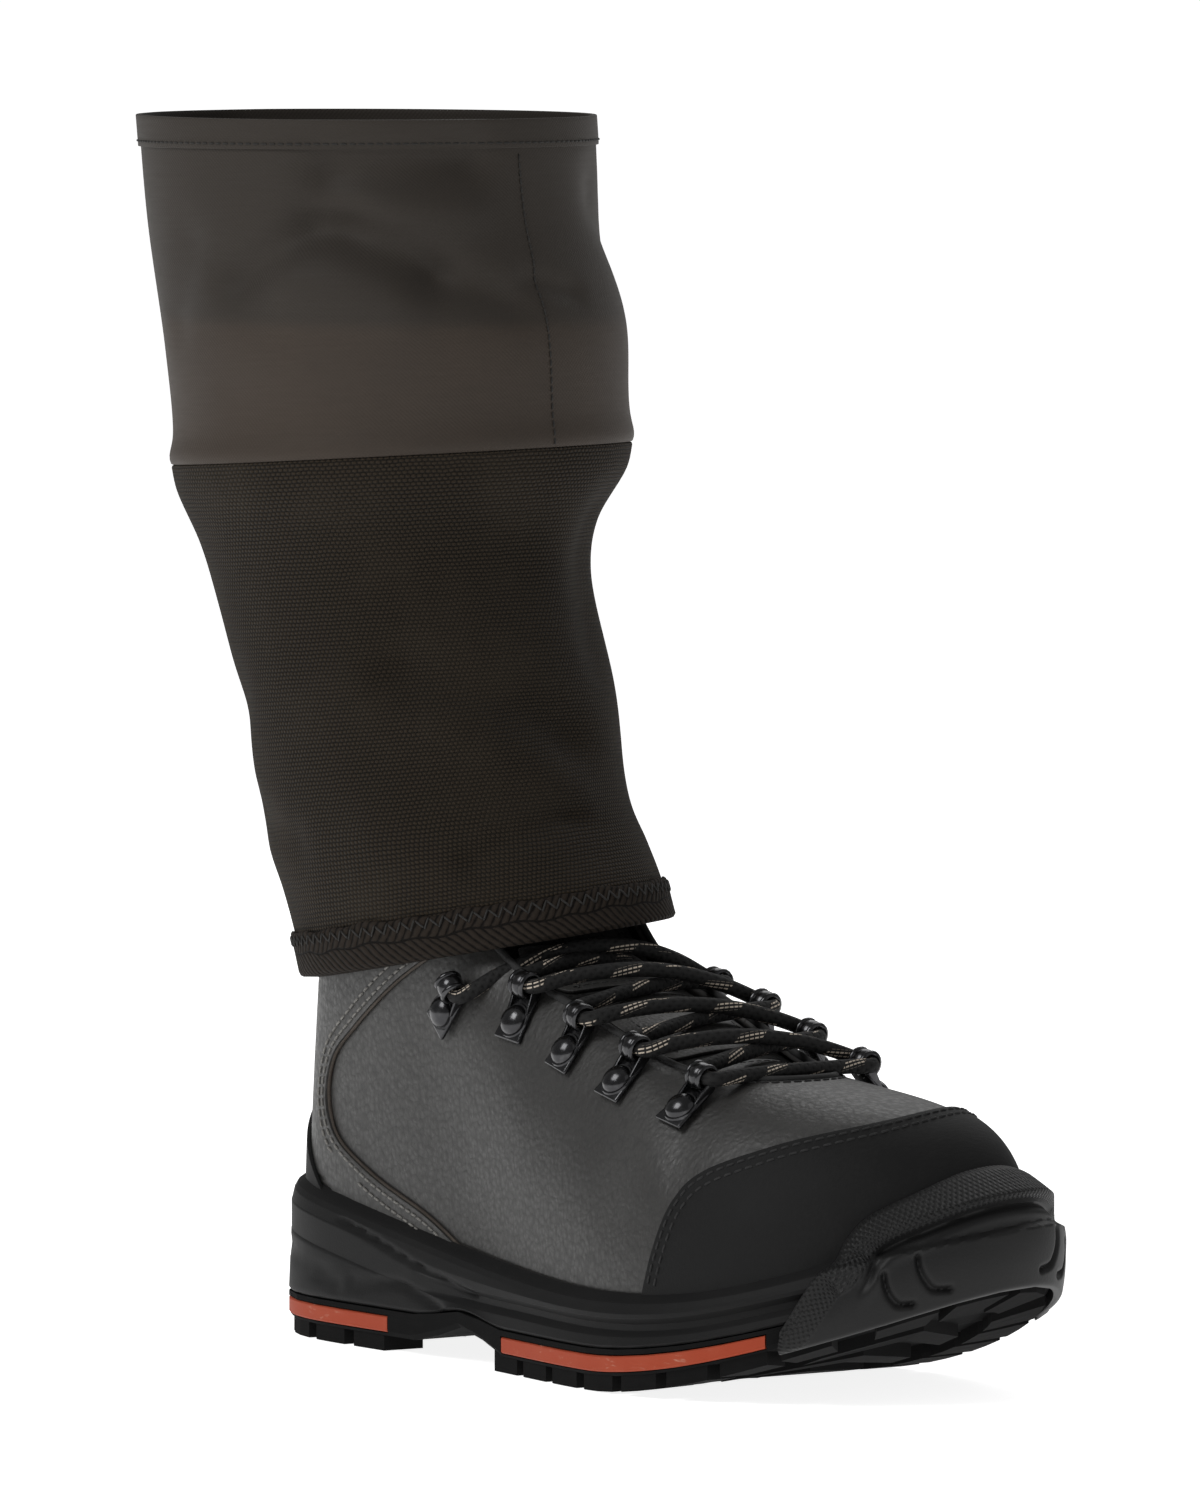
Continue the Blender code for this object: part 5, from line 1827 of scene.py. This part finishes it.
    def strand(self, start: tuple[int, Side, float], end: tuple[int, Side, float],
               lift: float) -> list[Array]:
        """Points of the lace between two hooks, bowed over the tongue."""
        a, b = self.eye(*start), self.eye(*end)
        shares = (0.15, 0.32, 0.5, 0.68, 0.85)
        return [
            a + share * (b - a) + lift * math.sin(math.pi * share) ** 0.9 * np.array(INSTEP_UP)
            for share in shares
        ]

    def route(self) -> Array:
        """The lace's middle line: down one zigzag, across the bar and up the other."""
        last = len(self.HOOKS) - 1
        points: list[Array] = []
        down = [Side.OUTER if row % 2 == 0 else Side.INNER for row in range(last + 1)]
        for row, side in enumerate(down):
            points += [self.eye(row, side, way) for way in (-1.0, 0.0, 1.0)]
            if row < last:
                lift = self.LIFTS[row][side is Side.OUTER]
                points += self.strand((row, side, 1.0), (row + 1, down[row + 1], -1.0), lift)
        other = [Side.INNER if side is Side.OUTER else Side.OUTER for side in down]
        points += self.strand((last, down[last], 1.0), (last, other[last], 1.0), self.BAR_LIFT)
        for row in range(last, -1, -1):
            points += [self.eye(row, other[row], way) for way in (1.0, 0.0, -1.0)]
            if row > 0:
                lift = self.LIFTS[row - 1][other[row] is Side.INNER]
                points += self.strand((row, other[row], -1.0), (row - 1, other[row - 1], 1.0), lift)
        return even_points(rounded_line(points, 1200), 1.5)


# Wader leg, gravel guard and its binding

@dataclass(frozen=True)
class Fold:
    """A soft fold of the leg: angle and height of its two ends, width, and depth inwards."""

    start: Pair
    end: Pair
    width: float
    depth: float


@dataclass
class Leg:
    """Cloth leg, the knitted guard over the boot's collar, and the tape round the guard's hem."""

    bench: Bench
    guard_wall: float = 3.4
    cloth_wall: float = 0.9
    tape_wall: float = 1.1
    tape_height: float = 10.5
    gap: float = 0.3
    seam_angle: float = -4.0
    seam_foot: float = 259.0
    hem_depth: float = 9.0
    hem_allowance: float = 8.0
    hem_row: float = 7.4

    # Rings from the hem up: height, middle x and y, half depth and half width, how much higher
    # the front is than the back, and the inner side than the outer
    GUARD = (
        (116, 74, 0, 68.5, 44.2, 20, 9), (126.5, 69.5, 0, 66.5, 45.5, 19, 8),
        (138, 63, 0, 63.0, 47.5, 16, 7), (151, 56, -1, 60.5, 49.0, 14, 5),
        (186, 48, -2, 60.0, 51.0, 10, 3), (220, 36, -3, 60.0, 52.5, 8, 3),
        (234, 34, -3, 62.5, 56.0, 8, 3), (250, 34, -2, 69.0, 64.5, 8, 3),
        (257, 34, -2, 70.5, 66.0, 8, 3),
    )
    CLOTH = (
        (244, 34, -2, 60.5, 55.0, 8, 3), (255.4, 34, -2, 65.0, 60.4, 8, 3),
        (256.4, 34, -2, 67.0, 62.4, 8, 3), (257.2, 34, -2, 70.4, 65.9, 8, 3),
        (259.5, 34, -2, 71.0, 66.5, 8, 3), (266, 34, -2, 70.0, 65.5, 8, 3),
        (291, 34, -4, 70.5, 66.0, 8, 3),
        (326, 26, -6, 69.5, 65.0, 4, 0), (356, 23, -7, 70.0, 65.0, 0, 0),
    )
    GUARD_FOLDS = (
        Fold((46, 195), (-6, 171), 6.0, 5.0), Fold((34, 181), (-2, 159), 7.0, -3.4),
        Fold((40, 139), (0, 148), 3.0, 2.8), Fold((62, 152), (20, 144), 9.0, -1.8),
        Fold((-38, 236), (-30, 196), 8.0, 2.2), Fold((-14, 232), (-8, 205), 9.0, -1.5),
        Fold((60, 168), (10, 178), 7.0, 1.0), Fold((128, 158), (100, 150), 5.0, 2.0),
        Fold((75, 205), (30, 212), 10.0, 0.8), Fold((120, 190), (170, 178), 7.0, 1.4),
        Fold((-60, 160), (-100, 170), 6.0, 1.4), Fold((180, 215), (220, 200), 8.0, 1.6),
        Fold((-170, 150), (-140, 158), 5.0, 1.6), Fold((-90, 225), (-120, 210), 9.0, 1.4),
    )
    CLOTH_FOLDS = (
        Fold((76, 310), (54, 323), 5.0, 4.4), Fold((54, 323), (44, 323), 4.6, 2.4),
        Fold((44, 323), (24, 309), 5.0, 4.4), Fold((24, 309), (4, 299), 4.2, 2.8),
        Fold((58, 309), (36, 304), 7.4, -3.4), Fold((46, 340), (12, 343), 5.6, 4.6),
        Fold((40, 331), (14, 328), 5.6, -2.2),
        Fold((-2, 306), (-16, 302), 3.0, 1.6), Fold((92, 318), (104, 300), 6.0, 1.4),
        Fold((-40, 330), (-70, 300), 8.0, 2.2), Fold((-100, 320), (-150, 300), 8.0, 2.0),
        Fold((150, 330), (190, 318), 7.0, 2.0), Fold((-170, 345), (-130, 335), 7.0, 1.6),
        Fold((80, 275), (40, 272), 7.0, 0.8), Fold((-60, 275), (-120, 280), 8.0, 1.2),
    )

    def point(self, rings: Rows, z: Array, angle: Array, inset: Numbers) -> Array:
        """Points on the leg.

        Args:
            rings: the guard's or the cloth's rings.
            z: height of the ring's middle.
            angle: in radians, 0 at the front and a quarter turn on the outer side.
            inset: distance inwards.

        Returns:
            Points in the boot's frame.
        """
        rows = rounded_line(rings, 240)
        x, y, depth, width, tilt, roll = (np.interp(z, rows[:, 0], c) for c in rows.T[1:])
        c, s = np.cos(angle), np.sin(angle)
        return np.stack([
            x + (depth - inset) * c, y - (width - inset) * s, z + tilt / 2 * c - roll / 2 * s,
        ], axis=1)

    def folded(self, rings: Rows, folds: Sequence[Fold], z: Array, angle: Array) -> Array:
        """Depth of the folds at places on the leg."""
        points = self.point(rings, z, angle, 0.0)
        depth = np.zeros(len(points))
        for fold in folds:
            ends = [
                self.point(rings, np.array([height]), np.radians([turn]), 0.0)[0]
                for turn, height in (fold.start, fold.end)
            ]
            depth += fold.depth * trough(points, *ends, fold.width)
        return depth

    def girth(self, rings: Rows) -> float:
        """Mean girth of a tube of rings."""
        half = np.mean([(row[3] + row[4]) / 2 for row in rings])
        return float(2 * math.pi * half)

    def build(self) -> None:
        """Makes the guard, its tape and stitching, and the cloth leg."""
        guard = self.guard()
        dress(guard, RibKnit("rib_knit"), ["gravel_guard"])
        dress(self.tape(), Herringbone("herringbone_tape"), ["guard_binding"])
        thread = Yarn("dark_thread", colour=(0.011, 0.0098, 0.008))
        dress(self.tape_stitching(), thread)
        cloth = self.cloth()
        dress(cloth, WovenCloth("woven_cloth"), ["wader_leg"])
        hem = self.top_hem()
        dress(hem, WovenCloth("woven_cloth"))
        dress(self.leg_stitching(), thread)
        top = self.CLOTH[-1][0]
        flat = (self.girth(self.CLOTH) * MM, (top - self.CLOTH[0][0] + self.hem_allowance) * MM)

    def tube(self, name: str, rings: Rows, reach: Pair,
             cells: tuple[int, int], folds: Sequence[Fold], proud: float = 0.0) -> Piece:
        """A tube of rings between two heights, with its folds and a UV map in its own girth."""
        low, high = reach
        girth = self.girth(rings)

        def place(along: Array, up: Array) -> Array:
            """The rings, pushed in by the folds."""
            z, angle = low + up * (high - low), 2 * math.pi * along
            return self.point(rings, z, angle, self.folded(rings, folds, z, angle) - proud)

        def flat(along: Array, up: Array) -> Array:
            """Girth and height in millimetres."""
            return np.stack([along * girth, up * (high - low)], axis=1)

        return self.bench.sheet(name, cells, place, joined=True, flat=flat)

    def guard(self) -> Piece:
        """Knitted guard, from its hem up to the seam with the cloth."""
        reach = (self.GUARD[0][0], self.GUARD[-1][0])
        piece = self.tube("guard_knit", self.GUARD, reach, (128, 96), self.GUARD_FOLDS)
        return self.bench.shell(piece, self.guard_wall, outwards=False, edge=0.8)

    def cloth(self) -> Piece:
        """Cloth leg, tucked into the guard at its foot."""
        reach = (self.CLOTH[0][0], self.CLOTH[-1][0])
        piece = self.tube("leg_cloth", self.CLOTH, reach, (144, 84), self.CLOTH_FOLDS)
        return self.bench.shell(piece, self.cloth_wall, outwards=False, edge=0.25)

    def top_hem(self) -> Piece:
        """Turned hem round the top of the leg."""
        top = self.CLOTH[-1][0]
        reach = (top - self.hem_depth, top)
        piece = self.tube("leg_hem", self.CLOTH, reach, (144, 6), self.CLOTH_FOLDS, 0.1)
        return self.bench.shell(piece, 0.7, edge=0.25)

    def tape(self) -> Piece:
        """Herringbone tape folded round the guard's lower edge."""
        low, high = self.GUARD[0][0], self.GUARD[0][0] + self.tape_height
        out = -self.gap - self.tape_wall
        inside = self.guard_wall + self.gap + self.tape_wall + 0.3
        under = low - self.gap - self.tape_wall
        section = np.array([
            (high, -self.gap), (high, -self.gap - 0.7), (high - 0.5, out),
            *[(high - 0.5 - k * (high - 0.5 - low) / 8, out) for k in range(1, 9)],
            (under + 0.35, out + 0.6), (under, out + 1.4), (under, 0.5 * (out + inside)),
            (under, inside - 0.8), (low, inside), (high, inside), (high, self.guard_wall + self.gap),
            (low - self.gap, self.guard_wall + self.gap), (low - self.gap, -self.gap),
            (high, -self.gap),
        ])
        width = lengths(section)
        width = width - width[2] - self.tape_height / 2
        girth = self.girth(self.GUARD[:2])
        count = len(section) - 1

        def place(along: Array, around: Array) -> Array:
            """The section carried round the hem, a little wavy at its upper edge."""
            i = np.rint(around * count).astype(int)
            angle = 2 * math.pi * along
            wave = 0.35 * np.sin(23 * angle) + 0.3 * np.sin(9 * angle + 1.0)
            z = section[i, 0] + np.where(section[i, 0] > low + 3, wave, 0.0)
            return self.point(self.GUARD, z, angle, section[i, 1])

        def flat(along: Array, around: Array) -> Array:
            """Length round the hem, and width from the tape's middle."""
            i = np.rint(around * count).astype(int)
            return np.stack([along * girth, width[i]], axis=1)

        piece = self.bench.sheet("guard_tape", (256, count), place, joined=True, flat=flat)
        return close(piece, 50.0, ends=False)

    def tape_stitching(self) -> Piece:
        """Zigzag stitches that hold the tape's upper edge."""
        stitches = Copies(self.bench, stitch_model(3.6, 0.7, 0.6))
        count = 2 * int(self.girth(self.GUARD[:2]) / 4.4)
        angles = np.arange(count) * 2 * math.pi / count
        zig = np.where(np.arange(count) % 2 == 0, -1.3, 1.3)
        middle = self.GUARD[0][0] + self.tape_height - 2.2
        away = -self.gap - self.tape_wall - 0.15
        spots = self.point(self.GUARD, middle + zig, angles, away)
        outs = spots - self.point(self.GUARD, middle + zig, angles, away + 3.0)
        for k in range(count):
            after = (k + 1) % count
            stitches.put((spots[k] + spots[after]) / 2, spots[after] - spots[k], outs[k])
        return stitches.piece("tape_stitching")

    def leg_stitching(self) -> Piece:
        """Stitches of the leg's front seam and of its top hem."""
        stitches = Copies(self.bench, stitch_model(1.9, 0.6, 0.55))
        top = self.CLOTH[-1][0]
        seam_z = np.arange(self.seam_foot, top - self.hem_depth - 1, 2.5)
        seam_turn = np.full(len(seam_z), math.radians(self.seam_angle))
        hem_turn = np.linspace(0, 2 * math.pi, 160, endpoint=False)
        hem_z = np.full(160, top - self.hem_row)
        for z, turn, proud in ((seam_z, seam_turn, 0.1), (hem_z, hem_turn, 0.85)):
            depth = self.folded(self.CLOTH, self.CLOTH_FOLDS, z, turn)
            spots = self.point(self.CLOTH, z, turn, depth - proud)
            outs = spots - self.point(self.CLOTH, z, turn, depth + 3.0)
            stitches.line(spots, outs)
        return stitches.piece("leg_stitching")


# Carried-over CAD nodes, studio and main

@dataclass
class Studio:
    """Pale floor, soft lights and a camera at the photograph's angle."""

    bench: Bench
    azimuth: float = 54.5
    elevation: float = 3.7
    distance: float = 4500.0
    aim: Point = (90.0, 0.0, 180.0)
    aside: float = 23.8
    lower: float = 7.0
    scale: float = 3.45
    frame_height: float = 1500.0

    def build(self) -> None:
        """Makes floor, lights and camera."""
        self.floor()
        self.lights()
        self.camera()

    def axes(self) -> tuple[Vector, Vector, Vector]:
        """Ways from the aim towards the camera, to its right and up."""
        a, e = math.radians(self.azimuth), math.radians(self.elevation)
        back = Vector((math.sin(a) * math.cos(e), -math.cos(a) * math.cos(e), math.sin(e)))
        right = Vector((0.0, 0.0, 1.0)).cross(back).normalized()
        return back, right, back.cross(right)

    def camera(self) -> None:
        """Camera far off, as in the photograph, with the boot in the middle of the frame."""
        back, right, up = self.axes()
        aim = Vector(self.bench.placed(np.array(self.aim)))
        aim += right * self.aside * MM - up * self.lower * MM
        data = bpy.data.cameras.new("camera")
        data.sensor_width = 36.0
        data.lens = data.sensor_width * self.scale * self.distance / self.frame_height
        data.clip_start, data.clip_end = 0.1, 60.0
        camera = bpy.data.objects.new("camera", data)
        camera.location = aim + back * self.distance * MM
        camera.rotation_euler = back.to_track_quat("Z", "Y").to_euler()
        bpy.context.scene.collection.objects.link(camera)
        bpy.context.scene.camera = camera

    def floor(self) -> None:
        """Plain pale floor that fills the picture up to the horizon."""
        bpy.ops.object.select_all(action="DESELECT")
        bpy.ops.mesh.primitive_plane_add(size=120.0, location=(0.0, 0.0, -0.0002))
        floor = bpy.context.object
        floor.name = "studio_floor"
        shade = Shade("studio_floor")
        shade.set(Base_Color=(0.9, 0.9, 0.9), Roughness=0.9, Emission_Color=(1.0, 1.0, 1.0),
                  Emission_Strength=0.86)
        floor.data.materials.append(shade.material)

    def lights(self) -> None:
        """A large soft key from the camera's left, a fill from its right and a rim from behind."""
        back, right, up = self.axes()
        target = Vector(self.bench.placed(np.array(self.aim)))
        plan = (
            ("key_light", -1.2 * right + 0.9 * back + 1.3 * up, 1.0, 20.0),
            ("fill_light", 1.5 * right + 0.8 * back + 0.7 * up, 1.6, 2.0),
            ("rim_light", 0.5 * right - 1.2 * back + 1.4 * up, 1.4, 9.0),
        )
        for name, away, size, power in plan:
            data = bpy.data.lights.new(name, "AREA")
            data.size, data.energy = size, power
            light = bpy.data.objects.new(name, data)
            light.location = target + away
            light.rotation_euler = away.to_track_quat("Z", "Y").to_euler()
            bpy.context.scene.collection.objects.link(light)
        world = bpy.data.worlds.new("studio_world")
        world.use_nodes = True
        world.node_tree.nodes["Background"].inputs["Color"].default_value = (1.0, 1.0, 1.0, 1.0)
        world.node_tree.nodes["Background"].inputs["Strength"].default_value = 0.22
        bpy.context.scene.world = world
        bpy.context.scene.view_settings.view_transform = "Standard"


MOUTH = (23.0, -7.0, 356.0)     # middle of the leg's mouth in the boot's frame


def frame_shift(record: dict) -> Array:
    """Where the boot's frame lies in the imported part, in millimetres."""
    mouth = next(mount for mount in record["mounts"] if mount["name"] == "leg_mouth")
    return np.array(mouth["pos_m"]) / MM - np.array(MOUTH)


def dress_nodes(nodes: dict[str, Piece]) -> None:
    """Gives the CAD nodes that stay their finishes."""
    finishes = {
        "outsole": Rubber("tread_rubber", roughness=0.8, gloss=0.05),
        "insole": Lining("spacer_mesh"),
    }
    for name, finish in finishes.items():
        coat(nodes[name], finish)
        LOG.info("%s: CAD node dressed", name)


def main() -> None:
    """Builds the boot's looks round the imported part."""
    logging.basicConfig(level=logging.INFO, format="%(name)s: %(message)s")
    for thing in list(bpy.data.objects):
        bpy.data.objects.remove(thing)
    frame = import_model()
    bench = Bench(frame_shift(frame["record"]))
    last = Last()
    Studio(bench).build()
    Upper(bench, last).build()
    Sole(bench, last).build()
    Tongue(bench, last).build()
    Lacing(bench, last).build()
    Leg(bench).build()
    dress_nodes(frame["nodes"])


if __name__ == "__main__":
    main()
